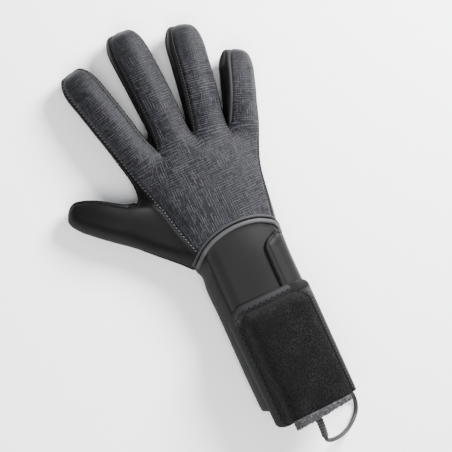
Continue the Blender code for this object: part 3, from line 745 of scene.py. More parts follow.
def seam_lines(first, second):
    """The lines along which two panels meet, longest first."""
    theirs = skin.rims[second]
    shared = {a: b for a, b in skin.rims[first].items() if theirs.get(b) == a}
    lines = []
    for start in sorted(set(shared) - set(shared.values())):
        line = [start]
        while line[-1] in shared:
            line.append(shared[line[-1]])
        lines.append(skin.points[line])
    return sorted(lines, key=len, reverse=True)


def tube(rings):
    """The points and faces of a closed tube through rings of points."""
    count = len(rings[0])
    faces = []
    for j in range(len(rings) - 1):
        for i in range(count):
            k = (i + 1) % count
            faces.append((j * count + i, j * count + k, (j + 1) * count + k, (j + 1) * count + i))
    first = tuple(reversed(range(count)))
    last = tuple(range((len(rings) - 1) * count, len(rings) * count))
    return [p for ring in rings for p in ring], [*faces, first, last]


class Heap:
    """Many small shapes gathered into one mesh."""

    def __init__(self):
        self.points = []
        self.faces = []

    def add(self, points, faces):
        first = len(self.points)
        self.points += list(points)
        self.faces += [tuple(first + i for i in face) for face in faces]


def section(middle, across, up, radius, sides):
    turns = [2 * math.pi * k / sides for k in range(sides)]
    return [middle + across * (radius * math.cos(t)) + up * (radius * math.sin(t)) for t in turns]


# %% Make rows of stitches
Stitch = namedtuple("Stitch", "spacing length radius lift")
STITCH_SIDES = 6
STITCH_SINK = 1.4
CAPSULE = [(-0.5, 0.3), (-0.44, 0.8), (-0.25, 1.0), (0.25, 1.0), (0.44, 0.8), (0.5, 0.3)]


def along_line(points, stitch, tree, aside, slant, stagger):
    """The middle, direction and normal of each stitch along a line on a surface."""
    spots = [Vector(p) for p in evenly(points, stitch.spacing)]
    places = []
    for number in range(1, len(spots) - 1):
        along = (spots[number + 1] - spots[number - 1]).normalized()
        normal = tree.find_nearest(spots[number])[1]
        side = normal.cross(along).normalized()
        shift = aside + (stagger if number % 2 else -stagger)
        turned = (along * math.cos(slant) + side * math.sin(slant)).normalized()
        places.append((spots[number] + side * shift + normal * stitch.lift, turned, normal))
    return places


def stitches(name, lines, stitch, tree, slot, aside=0.0, slant=0.0, stagger=0.0):
    """Bent capsules along some lines on a surface, moved aside from them, turned, or set in a zigzag."""
    places = [place for line in lines for place in along_line(line, stitch, tree, aside, slant, stagger)]
    heap = Heap()
    for middle, along, normal in places:
        side = normal.cross(along).normalized()
        rings = []
        for share, size in CAPSULE:
            sink = stitch.radius * (STITCH_SINK * (2 * share) ** 2)
            spot = middle + along * (share * stitch.length) - normal * sink
            rings.append(section(spot, normal, side, stitch.radius * size, STITCH_SIDES))
        heap.add(*tube(rings))
    print(name, len(places), "stitches")
    return placed(name, heap.points, heap.faces, slot, sharp=180)


# %% Stitch the panels together
RADIAL_STITCH = Stitch(0.0028, 0.0021, 0.00050, -0.0001)
FINGER_STITCH = Stitch(0.0021, 0.0014, 0.00032, -0.0002)
THUMB_STITCH = Stitch(0.0024, 0.0016, 0.00032, -0.0002)
ROLL_SPACING = 0.0012
ROLL_RADIUS = 0.00155
ROLL_SINK = 0.0004
ROLL_TAPER = 5
ROLL_LATE = 7

radial_row = stitches("thumb_side_stitches", seam_lines(BACK, THUMB)[:1], RADIAL_STITCH, skin.tree,
                      "ribbed_fabric", slant=0.25)
finger_lines = [line for number in range(3) for line in seam_lines(BACK, FOURCHETTE + number)]
finger_lines += seam_lines(BACK, PALM)[:1]
finger_row = stitches("finger_stitches", finger_lines, FINGER_STITCH, skin.tree, "ribbed_fabric")

# %% [markdown]
# The seam on the little finger's outer side isn't stitched flat but rolled. It is a soft tube along the
# half of the seam that faces the camera. It starts a little way from the crotch and both its ends
# taper.

# %% Roll the little finger's seam
little_line = seam_lines(BACK, FOURCHETTE + 2)[0]
crotch = int(np.argmin(little_line[:, 1]))
halves = [little_line[: crotch + 1], little_line[crotch:]]
little_half = max(halves, key=lambda line: line[:, 0].max())
roll = [Vector(p) for p in evenly(little_half, ROLL_SPACING)]
roll = roll[ROLL_LATE:-1] if roll[0].y > roll[-1].y else roll[1:-ROLL_LATE]
roll_rings = []
for number, place in enumerate(roll):
    along = (roll[min(number + 1, len(roll) - 1)] - roll[max(number - 1, 0)]).normalized()
    normal = skin.tree.find_nearest(place)[1]
    end = min(number, len(roll) - 1 - number)
    size = ROLL_RADIUS * math.sqrt(min(1.0, (end + 0.3) / ROLL_TAPER))
    side = normal.cross(along).normalized()
    roll_rings.append(section(place - normal * ROLL_SINK, normal, side, size, 10))
little_roll = placed("little_finger_roll", *tube(roll_rings), "ribbed_fabric")
print("the roll runs from", *[[round(1000 * v) for v in roll[end]] for end in (0, -1)])

# %% Stitch the thumb's own seams
thumb_lines = seam_lines(THUMB, PALM)
thumb_row = stitches("thumb_stitches", thumb_lines, THUMB_STITCH, skin.tree, "smooth_neoprene")

# %% [markdown]
# ## Surfaces to lay pieces on
# The tape, the pocket and its patch lie on the glove, so their outlines are drawn flat and dropped onto
# it from above. This is how a real patch is glued over a curve, and it keeps every layer at its own
# height.


# %% Drop onto a surface
class Surface:
    """A surface to lay other pieces on. Beyond its end towards the mouth, it carries on level."""

    def __init__(self, tree, lowest_y):
        self.tree = tree
        self.lowest_y = lowest_y

    def over(self, x, y, distance):
        """The place above (x, y), lifted off the surface by a distance."""
        hit, normal, *_ = self.tree.ray_cast(Vector((x, max(y, self.lowest_y), 1.0)), DOWN)
        if hit is None:
            hit, normal, *_ = self.tree.find_nearest(Vector((x, max(y, self.lowest_y), 0.5 * CUFF_DEPTH)))
        return Vector((hit.x, y, hit.z)) + Vector((normal.x, 0, normal.z)) * distance

    def top(self, x, y):
        return self.over(x, y, 0.0).z


def dropped(tree, places):
    """The points of a surface straight under some (x, y) places, without those that miss it."""
    hits = [tree.ray_cast(Vector((x, y, 1.0)), DOWN)[0] for x, y in places]
    return [hit for hit in hits if hit]


def corner_inset(from_end, radius):
    """How far a rounded corner draws a side in, at a distance from the end."""
    if from_end >= radius:
        return 0.0
    return radius - math.sqrt(max(0.0, radius**2 - (radius - from_end) ** 2))


def sheet(name, rows, wall, slot, stands_for=(), reach=0.0, lift=None, crosswise=False):
    """A sheet with a thickness from rows of points on its outer side. lift moves each point off the sheet.
    crosswise keeps its normals in the glove's cross sections, where a rounded corner squeezes the rows."""
    width = len(rows[0])
    grid = np.arange(len(rows) * width).reshape(-1, width)
    faces = np.stack([grid[:-1, :-1], grid[:-1, 1:], grid[1:, 1:], grid[1:, :-1]], axis=-1).reshape(-1, 4)
    points = np.array([tuple(p) for row in rows for p in row])
    normals = grid_normals(points.reshape(len(rows), width, 3)).reshape(-1, 3)
    if crosswise:
        normals[:, 1] = 0.0
        normals /= np.linalg.norm(normals, axis=1)[:, None]
    if lift is not None:
        points = points + normals * np.array(lift).reshape(-1, 1)
    places, all_faces = thick(points, normals, faces, wall, reach)
    print(name, len(all_faces), "faces")
    return placed(name, places, all_faces, slot, stands_for, sharp=60)


def lumps(rows, *waves):
    """How far each point stands out: a sum of noises, each with its height and its fineness."""
    return [[sum(height * noise.noise(p * fine) for height, fine in waves) for p in row] for row in rows]


def grid_normals(grid):
    along = np.gradient(grid, axis=0)
    across = np.gradient(grid, axis=1)
    normals = np.cross(across, along)
    return normals / (np.linalg.norm(normals, axis=2)[:, :, None] + TINY)


glove = Surface(BVHTree.FromPolygons(outer.tolist(), skin.quads.tolist()), -CUFF_LENGTH + MOUTH_CURVE)
print("the cuff's top lies at", round(1000 * glove.top(0, -0.06), 1), "mm")

# %% [markdown]
# ## The tape over the wrist
# A strip of welded tape covers the seam between the hand and the cuff. In the photograph it shows as
# two dull grey bands, the lower one wider and lighter, with a dark thread between them. Two rounded
# bands and one sewn line in the groove catch the light in the same way, which one flat strip with
# painted lines wouldn't.

# %% Make the tape
TAPE_WIDTH = 0.0066
TAPE_WALL = 0.0012
TAPE_STEP = 0.0008
TAPE_STITCH = Stitch(0.0019, 0.0019, 0.00034, 0.0009)
BAND_ROWS = 9
BAND_SQUARENESS = 2.6


def tape_line():
    """The wrist's seam over the back, as places at even steps."""
    seam = wrist_seam()
    first = seam[THUMB_SIDE].lerp(seam[0], 0.4)
    last = seam[LITTLE_SIDE - 1].lerp(seam[LITTLE_SIDE], 0.7)
    line = smooth_route([first, *seam[:LITTLE_SIDE], last], 3)
    return [Vector(p) for p in evenly(line, TAPE_STEP)]


def on_skin(point, distance):
    """The place on the smooth skin nearest a point, lifted off it by a distance."""
    place, normal, *_ = skin.tree.find_nearest(point)
    return place + normal * distance


def band(name, shares, crown, slot, stands_for=()):
    """One rounded band along the tape. shares are its two edges as shares of the tape's width."""
    line = tape_line()
    rows = [[] for _ in range(BAND_ROWS)]
    for i, place in enumerate(line):
        along = line[min(i + 1, len(line) - 1)] - line[max(i - 1, 0)]
        _, normal, *_ = skin.tree.find_nearest(place)
        aside = normal.cross(along).normalized()
        for row, step in zip(rows, spread(-1.0, 1.0, BAND_ROWS)):
            share = (shares[0] + shares[1]) / 2 + step * (shares[1] - shares[0]) / 2
            rise = crown * math.sqrt(max(0.0, 1 - abs(step) ** BAND_SQUARENESS))
            height = LAY_GAP + 0.4 * TAPE_WALL + rise
            row.append(on_skin(place + aside * (share * TAPE_WIDTH), height))
    return sheet(name, rows, 0.45 * TAPE_WALL, slot, stands_for)


lower_band = band("tape_lower_band", (-0.50, 0.02), 0.0010, "welded_tape", ["wrist_seam_tape"])
upper_band = band("tape_upper_band", (0.16, 0.50), 0.0007, "welded_tape")
tape_row = stitches("tape_stitches", [tape_line()], TAPE_STITCH, skin.tree, "smooth_neoprene",
                    aside=0.07 * TAPE_WIDTH, slant=0.5)

# %% [markdown]
# ## The patch on the little finger's side
# A padded patch of smooth neoprene runs from the tape down under the pocket. It is puffed up, and a
# stitched groove follows its outline a little inside the edge. The height comes from the distance to
# the outline, as a quilted edge has it.

# %% Make the patch
PLACKET_WALL = 0.0020
PLACKET_EDGE = 0.0140
PLACKET_CORNER = 0.0060
PLACKET_SLANT = 0.40
POCKET_TOP = -0.0265
PLACKET_SEAM = 0.0026
PLACKET_REACH = 0.5 * WRIST_WIDTH - 2 * LAY_GAP - PLACKET_EDGE
PLACKET_STITCH = Stitch(0.0022, 0.0018, 0.00045, 0.0001)
GROOVE_HALF_WIDTH = 0.0007
FOOT_INSET = 0.0020
FOOT_DROP = 0.0030
POCKET_SIDE = -0.0012
POCKET_WIDTH = 0.0635
BASE_TOP_CORNER = 0.0110


def quilted(distance, seam, height, groove):
    """The height of a padded edge: it rises from the outline, dips at the seam and swells again."""
    rise = height * clamp(distance / (0.6 * seam)) ** 0.5
    dip = groove * math.exp(-(((distance - seam) / GROOVE_HALF_WIDTH) ** 2))
    swell = 0.3 * height * math.exp(-(((distance - 2.2 * seam) / (1.2 * seam)) ** 2))
    return rise - dip + swell


def patch_edge(x):
    """The patch's high edge: it slants up from a rounded corner, and stays below the tape."""
    share = x - PLACKET_EDGE
    high = SEAM_PLACE + PLACKET_SLANT * share - corner_inset(share, PLACKET_CORNER)
    return min(high, seam_at(x) - 1.2 * TAPE_WIDTH)


def patch_foot(x):
    """The patch's low edge: it meets the pocket, and follows the start of the pocket's corner."""
    beyond = x - POCKET_SIDE - (0.5 * POCKET_WIDTH - FOOT_INSET - BASE_TOP_CORNER)
    drop = BASE_TOP_CORNER - math.sqrt(BASE_TOP_CORNER**2 - clamp(beyond, 0.0, BASE_TOP_CORNER) ** 2)
    return POCKET_TOP + LAY_GAP - min(FOOT_DROP, drop)


def patch_grid(columns, rows):
    grid, lift = [], []
    for step in spread(0.0, 1.0, rows):
        row, heights = [], []
        for share in spread(0.0, 1.0, columns):
            x = PLACKET_EDGE + math.sin(share * math.pi / 2) * PLACKET_REACH
            high, low = patch_edge(x), patch_foot(x)
            y = low + (high - low) * step
            row.append(glove.over(x, y, LAY_GAP + 0.5 * PLACKET_WALL))
            to_side = 1.3 * (PLACKET_EDGE + PLACKET_REACH - x) + 0.001
            distance = min(x - PLACKET_EDGE, (high - y) * 0.93, to_side)
            heights.append(quilted(distance, PLACKET_SEAM, 0.55 * PLACKET_WALL, 0.0006))
        grid.append(row)
        lift.append(heights)
    return grid, lift


grid, lift = patch_grid(60, 84)
patch = sheet("side_patch", grid, 0.5 * PLACKET_WALL, "smooth_neoprene", ["side_placket"], 0.0003, lift)
patch_surface = surface_of(patch)
corner_y = patch_edge(PLACKET_EDGE + 0.004) - 0.004
outline = [(PLACKET_EDGE + 0.0010, y) for y in spread(POCKET_TOP, corner_y, 8)]
outline += [(x, patch_edge(x) - 0.0010)
            for x in spread(PLACKET_EDGE + 0.0035, PLACKET_EDGE + 0.94 * PLACKET_REACH, 8)]
patch_line = smooth_route(dropped(patch_surface, outline), 4)
patch_row = stitches("patch_stitches", [patch_line], PLACKET_STITCH, patch_surface, "smooth_neoprene")

# %% [markdown]
# ## The pocket's base
# The pocket is sewn on a neoprene sheet that wraps over the cuff and hangs a little past its mouth. A
# rounded, padded border runs round it, with dark stitches inside. The sheet is dropped on the cuff like
# the patch, and its height again comes from the distance to the outline.

# %% Make the base sheet
POCKET_LENGTH = 0.0955
BASE_WALL = 0.0025
BORDER_WIDTH = 0.0062
BASE_LOW_CORNER = 0.0045
BASE_WRAP = 75
BORDER_SWELL = 0.0011
BORDER_SINK = 0.0004
SIDE_COUNTS = 1.6
BASE_COLUMNS = 90
BASE_LOW = POCKET_TOP - POCKET_LENGTH
BASE_HALF = 0.5 * POCKET_WIDTH - 0.6 * (LAY_GAP + BASE_WALL)


def base_half(y):
    """Half the base sheet's width at a place along it, before it wraps over the cuff."""
    low_corner = corner_inset(y - BASE_LOW, BASE_LOW_CORNER)
    return BASE_HALF - low_corner - corner_inset(POCKET_TOP - y, BASE_TOP_CORNER)


def base_grid(columns, rows):
    turns = spread(0, math.pi / 2, 10)
    stations = [BASE_LOW + BASE_LOW_CORNER * (1 - math.cos(t)) for t in turns]
    stations += spread(BASE_LOW + BASE_LOW_CORNER + 0.001, POCKET_TOP - BASE_TOP_CORNER - 0.001, rows)
    stations += [POCKET_TOP - BASE_TOP_CORNER * (1 - math.sin(t)) for t in turns]
    grid, lift = [], []
    for y in stations:
        half = base_half(y)
        wide = half / math.sin(math.radians(BASE_WRAP))
        row, heights = [], []
        for degrees in spread(-BASE_WRAP, BASE_WRAP, columns):
            x = wide * math.sin(math.radians(degrees))
            row.append(glove.over(POCKET_SIDE + x, y, 2 * LAY_GAP + BASE_WALL))
            inside = clamp(inside_border(x, y, half) / BORDER_WIDTH)
            heights.append(BORDER_SWELL * math.sin(math.pi * inside) ** 0.7 - BORDER_SINK)
        grid.append(row)
        lift.append(heights)
    return grid, lift


def inside_border(x, y, half):
    """How far a place lies inside the outline. Toward a side it counts more, where the sheet is steep."""
    beyond, above = abs(x) - BASE_HALF + BASE_TOP_CORNER, y - POCKET_TOP + BASE_TOP_CORNER
    if beyond > 0 and above > 0:
        away = math.hypot(beyond, above)
        return (BASE_TOP_CORNER - away) * (1 + (SIDE_COUNTS - 1) * beyond / away)
    return min(POCKET_TOP - y, SIDE_COUNTS * ((BASE_HALF if above > 0 else half) - abs(x)))


grid, lift = base_grid(BASE_COLUMNS, 130)
base = sheet("pocket_base_sheet", grid, BASE_WALL, "smooth_neoprene", ["pocket_base"], 0.0008, lift,
             crosswise=True)
starts = [j * BASE_COLUMNS + i for j in range(len(grid) - 1) for i in range(BASE_COLUMNS - 1)]
base_tree = BVHTree.FromPolygons(
    [tuple(p) for row in grid for p in row],
    [(k, k + 1, k + BASE_COLUMNS + 1, k + BASE_COLUMNS) for k in starts],
)
base_surface = Surface(base_tree, BASE_LOW)

# %% [markdown]
# ## The battery pouch
# The pouch is a stiff box of fuzzy loop fabric that stands about 14 mm high over the sheet. Its outside
# is a rounded tunnel with soft lumps, as the worn fabric has them. Its wall is real, and it is open at
# the lower end, where the battery and its lead can be seen.

# %% Make the pouch
POUCH_RISE = 0.0140
POUCH_WALL = 0.0025
POUCH_ROUND = 0.0095
POUCH_SQUARENESS = 4.5
POUCH_HEM = 0.0040
POUCH_COLUMNS = 97
Place = namedtuple("Place", "left right low high")
pouch = Place(
    left=POCKET_SIDE - 0.5 * POCKET_WIDTH + BORDER_WIDTH,
    right=POCKET_SIDE + 0.5 * POCKET_WIDTH - 0.45 * BORDER_WIDTH,
    low=BASE_LOW + 0.35 * BORDER_WIDTH,
    high=POCKET_TOP - 1.1 * BORDER_WIDTH,
)
pouch_middle = 0.5 * (pouch.left + pouch.right)
crown = base_surface.top(pouch_middle, 0.5 * (pouch.low + pouch.high)) + LAY_GAP + POUCH_RISE


def pouch_row(y, count):
    """The pouch's outside across the cuff, from its left foot over the top to its right foot."""
    from_end = pouch.high - y
    half = 0.5 * (pouch.right - pouch.left) - corner_inset(from_end, POUCH_ROUND)
    grown = rounded(1.0 - min(1.0, from_end / POUCH_ROUND), 2.2)
    row = []
    for degrees in spread(-90.0, 90.0, count):
        angle = math.radians(degrees)
        across = math.copysign(abs(math.sin(angle)) ** (2 / POUCH_SQUARENESS), math.sin(angle))
        up = abs(math.cos(angle)) ** (2 / POUCH_SQUARENESS)
        x = pouch_middle + half * across
        foot = base_surface.top(x, y) + LAY_GAP
        row.append(Vector((x, y, foot + grown * up * (crown - foot))))
    return row


stations = [pouch.low, *spread(pouch.low + 0.5 * POUCH_HEM, pouch.high - POUCH_ROUND, 90)]
stations += [pouch.high - POUCH_ROUND * (1 - math.sin(t)) for t in spread(0.08, math.pi / 2, 16)]
rows = [pouch_row(y, POUCH_COLUMNS) for y in stations]
lift = lumps(rows, (0.00022, 210), (0.00035, 60))
pouch_cloth = sheet("pouch_cloth", rows, POUCH_WALL, "loop_fabric", ["battery_pouch"], 0.0, lift)
for vertex in pouch_cloth.data.vertices:
    vertex.co.z = max(vertex.co.z, base_surface.top(vertex.co.x, vertex.co.y) + LAY_GAP)
pouch_tree = surface_of(pouch_cloth)
print("the pouch's top lies at", round(crown * 1000, 1), "mm")

# %% [markdown]
# The fuzz of the loop fabric is made of thousands of short bent fibres set on the pouch. They break up
# its outline, which a bump in the material can't do. A hair system would need more memory and its own
# material.


# %% Fuzz on the pouch
Fibre = namedtuple("Fibre", "count length radius")
POUCH_FIBRE = Fibre(9000, 0.0016, 0.00007)
FIBRE_ROOT = 0.0002


def fibres(name, surface, keep, fibre, slot):
    """Short bent fibres at random places on a piece, where keep(place, normal) allows it."""
    mesh = surface.data
    mesh.calc_loop_triangles()
    corners = numbers(mesh.loop_triangles, "vertices", 3, int)
    points = numbers(mesh.vertices, "co", 3)
    a, b, c = (points[corners[:, k]] for k in range(3))
    normals = np.cross(b - a, c - a)
    areas = np.linalg.norm(normals, axis=1)
    picked = random.choice(len(areas), fibre.count * 2, p=areas / areas.sum())
    shares = random.random((fibre.count * 2, 2))
    shares[shares.sum(axis=1) > 1] = 1 - shares[shares.sum(axis=1) > 1]
    heap = Heap()
    made = 0
    for k, (s, t) in zip(picked, shares):
        place = Vector(a[k] + s * (b[k] - a[k]) + t * (c[k] - a[k]))
        normal = Vector(normals[k] / (areas[k] + TINY))
        if made == fibre.count or not keep(place, normal):
            continue
        made += 1
        lean = Vector(random.normal(size=3))
        lean = (lean - normal * lean.dot(normal)).normalized()
        long = fibre.length * random.uniform(0.5, 1.2)
        middle = place + normal * (0.30 * long) + lean * (0.40 * long)
        end = place + normal * random.uniform(0.05, 0.45) * long + lean * (0.95 * long)
        spots = ((place - normal * FIBRE_ROOT, 1.0), (middle, 0.9), (end, 0.5))
        side = normal.cross(lean)
        heap.add(*tube([section(spot, side, normal, fibre.radius * size, 3) for spot, size in spots]))
    print(name, made, "fibres")
    return placed(name, heap.points, heap.faces, slot, sharp=180)


def on_pouch(place, normal):
    """Whether a place is on the pouch's outer side, clear of its open end and of the flap."""
    if normal.z < -0.1 or place.y < pouch.low + 0.0006:
        return False
    hit = pouch_tree.ray_cast(place + normal * 0.0004, normal, 0.03)[0]
    return hit is None and place.x < pouch.right - 0.0022


pouch_fuzz = fibres("pouch_fuzz", pouch_cloth, on_pouch, POUCH_FIBRE, "loop_fabric")

# %% [markdown]
# ## The flap on the little finger's side
# On this side the fuzzy fabric ends at a smooth padded flap that slants down to the binding, with a row
# of light stitches along its upper edge. It is one wedge of neoprene between the pouch's shoulder and
# the binding, drawn through sections whose outer side is a soft curve. A sheet with a wall would leave
# a gap under its outer edge.

# %% Make the flap
FLAP_ON_TOP = 0.0022
FLAP_CORNER = 0.0068
FLAP_STITCH = Stitch(0.0026, 0.0013, 0.00022, 0.0)
FLAP_END = 0.004
FLAP_DRAWN_IN = 0.0016
FLAP_RISE = 0.0010
FLAP_GROOVE = 0.0006
FLAP_SEAM = 0.16
FLAP_SEAM_WIDTH = 0.05
FLAP_COLUMNS = 121
binding_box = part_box("flap_binding")
binding_high = Vector(binding_box[1])


def flap_outside(y):
    """The flap's outer edge: it draws in a little towards the mouth, and is rounded at the top corner."""
    toward_mouth = (pouch.high - y) / (pouch.high - pouch.low)
    drawn_in = FLAP_DRAWN_IN * max(0.0, toward_mouth)
    x = binding_high.x - 0.0007 - drawn_in - corner_inset(POCKET_TOP - y, FLAP_CORNER)
    return Vector((x, y, binding_high.z - 0.0012))


def flap_section(y, size):
    """One section of the flap at a place along the pouch, drawn in towards its middle by its size."""
    side = pouch_row(y, FLAP_COLUMNS)[FLAP_COLUMNS // 2 :]
    shoulder = min(side, key=lambda p: abs(p.x - (side[-1].x - FLAP_ON_TOP)))
    above = clamp((y - pouch.high + FLAP_END) / FLAP_END)
    shoulder = shoulder - Vector((0, 0, 0.0012 * above))
    outside = flap_outside(y)
    corner = Vector((shoulder.x + 0.62 * (outside.x - shoulder.x), y, max(shoulder.z, outside.z)))
    ring = []
    for u in spread(0.0, 1.0, 22):
        place = shoulder * (1 - u) ** 2 + corner * (2 * u * (1 - u)) + outside * u**2
        seam = math.exp(-(((u - FLAP_SEAM) / FLAP_SEAM_WIDTH) ** 2)) * (1 - above)
        rise = FLAP_RISE * math.sqrt(min(1.0, u / (0.08 + 0.4 * above))) - FLAP_GROOVE * seam
        ring.append(place + Vector((0.35, 0, 0.94)) * rise)
    ring.append(outside - Vector((0.0020, 0, 0.0040)))
    ring.append(Vector((side[-1].x + 0.0004, y, side[-1].z - 0.0010 * above + 0.0004)))
    ring.append(Vector((side[-1].x + 0.0003, y, 0.5 * (side[-1].z + shoulder.z) - 0.0010 * above)))
    middle = sum(ring, Vector()) / len(ring)
    return [middle.lerp(p, size) for p in ring]


flap_places = [(pouch.low + 0.0002, 0.70), (pouch.low + 0.0006, 0.88), (pouch.low + 0.0013, 0.97)]
flap_places += [(y, 1.0) for y in spread(pouch.low + 0.0022, pouch.high, 80)]
FLAP_ENDS = (0.0058, 0.0048, 0.0038, 0.0028, 0.0019, 0.0011, 0.0005)
flap_places += [(POCKET_TOP - from_top, 1.0) for from_top in FLAP_ENDS]
flap_places += [(POCKET_TOP - 0.0002, 0.94)]
flap_rings = [flap_section(y, size) for y, size in flap_places]
flap = placed("side_flap", *tube(flap_rings), "smooth_neoprene")
flap_line = [ring[4] for ring in flap_rings[2:-16]]
flap_row = stitches("side_flap_stitches", [flap_line], FLAP_STITCH, surface_of(flap), "ribbed_fabric")

# %% [markdown]
# ## Stitches of the border
# One dark row of stitches holds the padded border near its inner edge. They lie to the left and the
# right of their line in turn, as a zigzag seam has them. They are set on the finished border, so that
# they follow its swelling.

# %% Stitch the border
BORDER_STITCH = Stitch(0.0024, 0.0014, 0.00050, 0.0002)
border_tree = surface_of(base)


def border_line(beside, above):
    """A line on the border, so far in from its outline: up the thumb's side, then along the top."""
    half = BASE_HALF - beside
    corner = BASE_TOP_CORNER - 0.6 * above
    top = POCKET_TOP - above
    places = [(-half, y) for y in spread(BASE_LOW + 0.004, top - corner, 20)]
    places += [(-half + corner * (1 - math.cos(t)), top - corner + corner * math.sin(t))
               for t in spread(0.1, math.pi / 2, 10)]
    places += [(x, top) for x in spread(-half + corner + 0.001, half - 0.004, 20)]
    return dropped(border_tree, [(POCKET_SIDE + x, y) for x, y in places])


border_row = stitches("border_stitches", [border_line(0.0015, 0.0042)], BORDER_STITCH, border_tree,
                      "loop_fabric", stagger=0.00060)

# %% [markdown]
# ## The felt lip
# The pouch's top layer carries on past its mouth as a lip of grey felt with a ragged end. The end of
# each of its rows is worked from noise and loose fibres stand out of it, because a straight cut edge
# would look new.

# %% Make the lip
FELT_REACH = 0.0069
FELT_WALL = 0.0030
FELT_SHORT = 0.0050
FELT_SLANT = 0.065
FELT_FOOT = 14
FELT_FIBRE = Fibre(2600, 0.0015, 0.00006)
FELT_SAG = 0.0012


def ragged(x):
    """How much longer the lip is at a place across it: slow tufts and fine ones."""
    return 0.0009 * noise.noise(Vector((x * 420, 0, 3))) + 0.0007 * noise.noise(Vector((x * 1300, 5, 0)))


def felt_rows(columns, steps):
    first = pouch_row(pouch.low, POUCH_COLUMNS)
    inside = [p for p in first[FELT_FOOT:-FELT_FOOT] if p.x < pouch.right - FELT_SHORT]
    picked = [inside[round(k)] for k in spread(0, len(inside) - 1, columns)]
    rows = []
    for share in spread(1.0, 0.0, steps):
        row = []
        for p in picked:
            reach = max(0.002, FELT_REACH - FELT_SLANT * (p.x - pouch.left) + ragged(p.x))
            row.append(Vector((p.x, pouch.low - SEAM_GAP - share * reach, p.z - FELT_SAG * share**2)))
        rows.append(row)
    return rows


rows = felt_rows(110, 14)
lift = lumps(rows, (0.00025, 500), (0.0002, 1400))
felt = sheet("felt_lip", rows, FELT_WALL, "felt", ["felt_edge"], 0.0003, lift)


def on_felt(place, normal):
    return place.y < pouch.low - 0.001 and (normal.z > 0.2 or normal.y < -0.5)


felt_fuzz = fibres("felt_fuzz", felt, on_felt, FELT_FIBRE, "felt")

# %% [markdown]
# ## The binding, the boot and the battery
# The binding is a soft rounded cord of cloth along the pocket's free edge. The boot is rubber with
# rings that let the lead bend without breaking, moulded as one piece. The battery stays as its plain
# solid and only gets its material.

# %% Make the binding and the boot
BINDING_WIDTH = 0.0027
BINDING_DEPTH = 0.0075
BINDING_END = 0.0025
BINDING_SIDES = 16
BINDING_WAVE = 0.02
BINDING_WAVES = 2100
BOOT_LENGTH = 0.0250
BOOT_DIAMETER = 0.0062
BOOT_BEND = 42
BOOT_RIBS = 8
BOOT_COLLAR = 0.14
BOOT_RIBBED = 0.80
BOOT_END = 0.955
BOOT_END_SIZE = 0.62
BOOT_TAPER = 0.16
BOOT_CORE = 0.60
BOOT_SIDES = 28


def binding():
    """A cord along the flap's edge, with a slight twist in its width and rounded ends."""
    low, high = pouch.low + BASE_LOW_CORNER, pouch.high - 0.5 * POUCH_ROUND + 0.5 * BINDING_END
    rings = []
    for y in spread(low, high, 90):
        end = max(0.0, min(y - low, high - y))
        size = 0.5 + 0.5 * math.sqrt(min(1.0, end / (1.5 * BINDING_END)))
        bulge = 1 + BINDING_WAVE * math.sin(y * BINDING_WAVES)
        centre = Vector((flap_outside(y).x - 0.0007, y, (binding_box[0][2] + binding_box[1][2]) / 2))
        ring = []
        for k in range(BINDING_SIDES):
            turn = 2 * math.pi * k / BINDING_SIDES
            ring.append(centre + Vector((0.5 * BINDING_WIDTH * size * bulge * math.cos(turn), 0,
                                         0.5 * BINDING_DEPTH * size * math.sin(turn))))
        rings.append(ring)
    return tube(rings)


binding_edge = placed("edge_binding", *binding(), "smooth_neoprene", ["flap_binding"])
battery_low, battery_high = (Vector(corner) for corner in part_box("battery_pack"))
boot_start = Vector((battery_low.x + 0.335 * (battery_high.x - battery_low.x), battery_low.y - LAY_GAP,
                     battery_low.z + 0.56 * (battery_high.z - battery_low.z)))


def boot_place(share):
    """The middle of the boot at a share of its length, and the way it points there."""
    bend = math.radians(BOOT_BEND)
    turn = bend * share
    ahead = BOOT_LENGTH * math.sin(turn) / bend
    down = BOOT_LENGTH * (1 - math.cos(turn)) / bend
    axis = Vector((0, -math.cos(turn), -math.sin(turn)))
    return boot_start + Vector((0.06 * ahead, -ahead, -down)), axis


def boot_rings():
    rings = []
    across = Vector((1, 0, 0))
    for share in spread(0.0, 1.0, 150):
        size = 1.0 - BOOT_TAPER * max(0.0, share - BOOT_COLLAR) / BOOT_RIBBED
        rib = (share - BOOT_COLLAR) / BOOT_RIBBED * BOOT_RIBS
        if 0 <= rib < BOOT_RIBS:
            size *= BOOT_CORE + (1 - BOOT_CORE) * clamp(math.sin(math.pi * (rib % 1.0)) * 2.2 - 0.7) ** 0.5
        if share > BOOT_END:
            size = BOOT_END_SIZE
        radius = 0.5 * BOOT_DIAMETER * size * min(1.0, (share + 0.004) / 0.02) ** 0.5
        centre, axis = boot_place(share)
        rings.append(section(centre, across, across.cross(axis), radius, BOOT_SIDES))
    return rings


boot = placed("ribbed_boot", *tube(boot_rings()), "lead_rubber", ["strain_relief"])
print("the boot ends at", [round(1000 * v, 1) for v in boot_place(1.0)[0]])

# %% [markdown]
# ## Materials
# Each material is made of maths on the piece's own places, with no pictures. One small class writes the
# shader as plain expressions, so that a pattern reads like the formula that it is.


# %% Write shader maths as expressions
def operator(operation):
    """A method that works one maths node out of a wire and the values that come with it."""
    return lambda wire, *others: wire.maths(operation, *others)


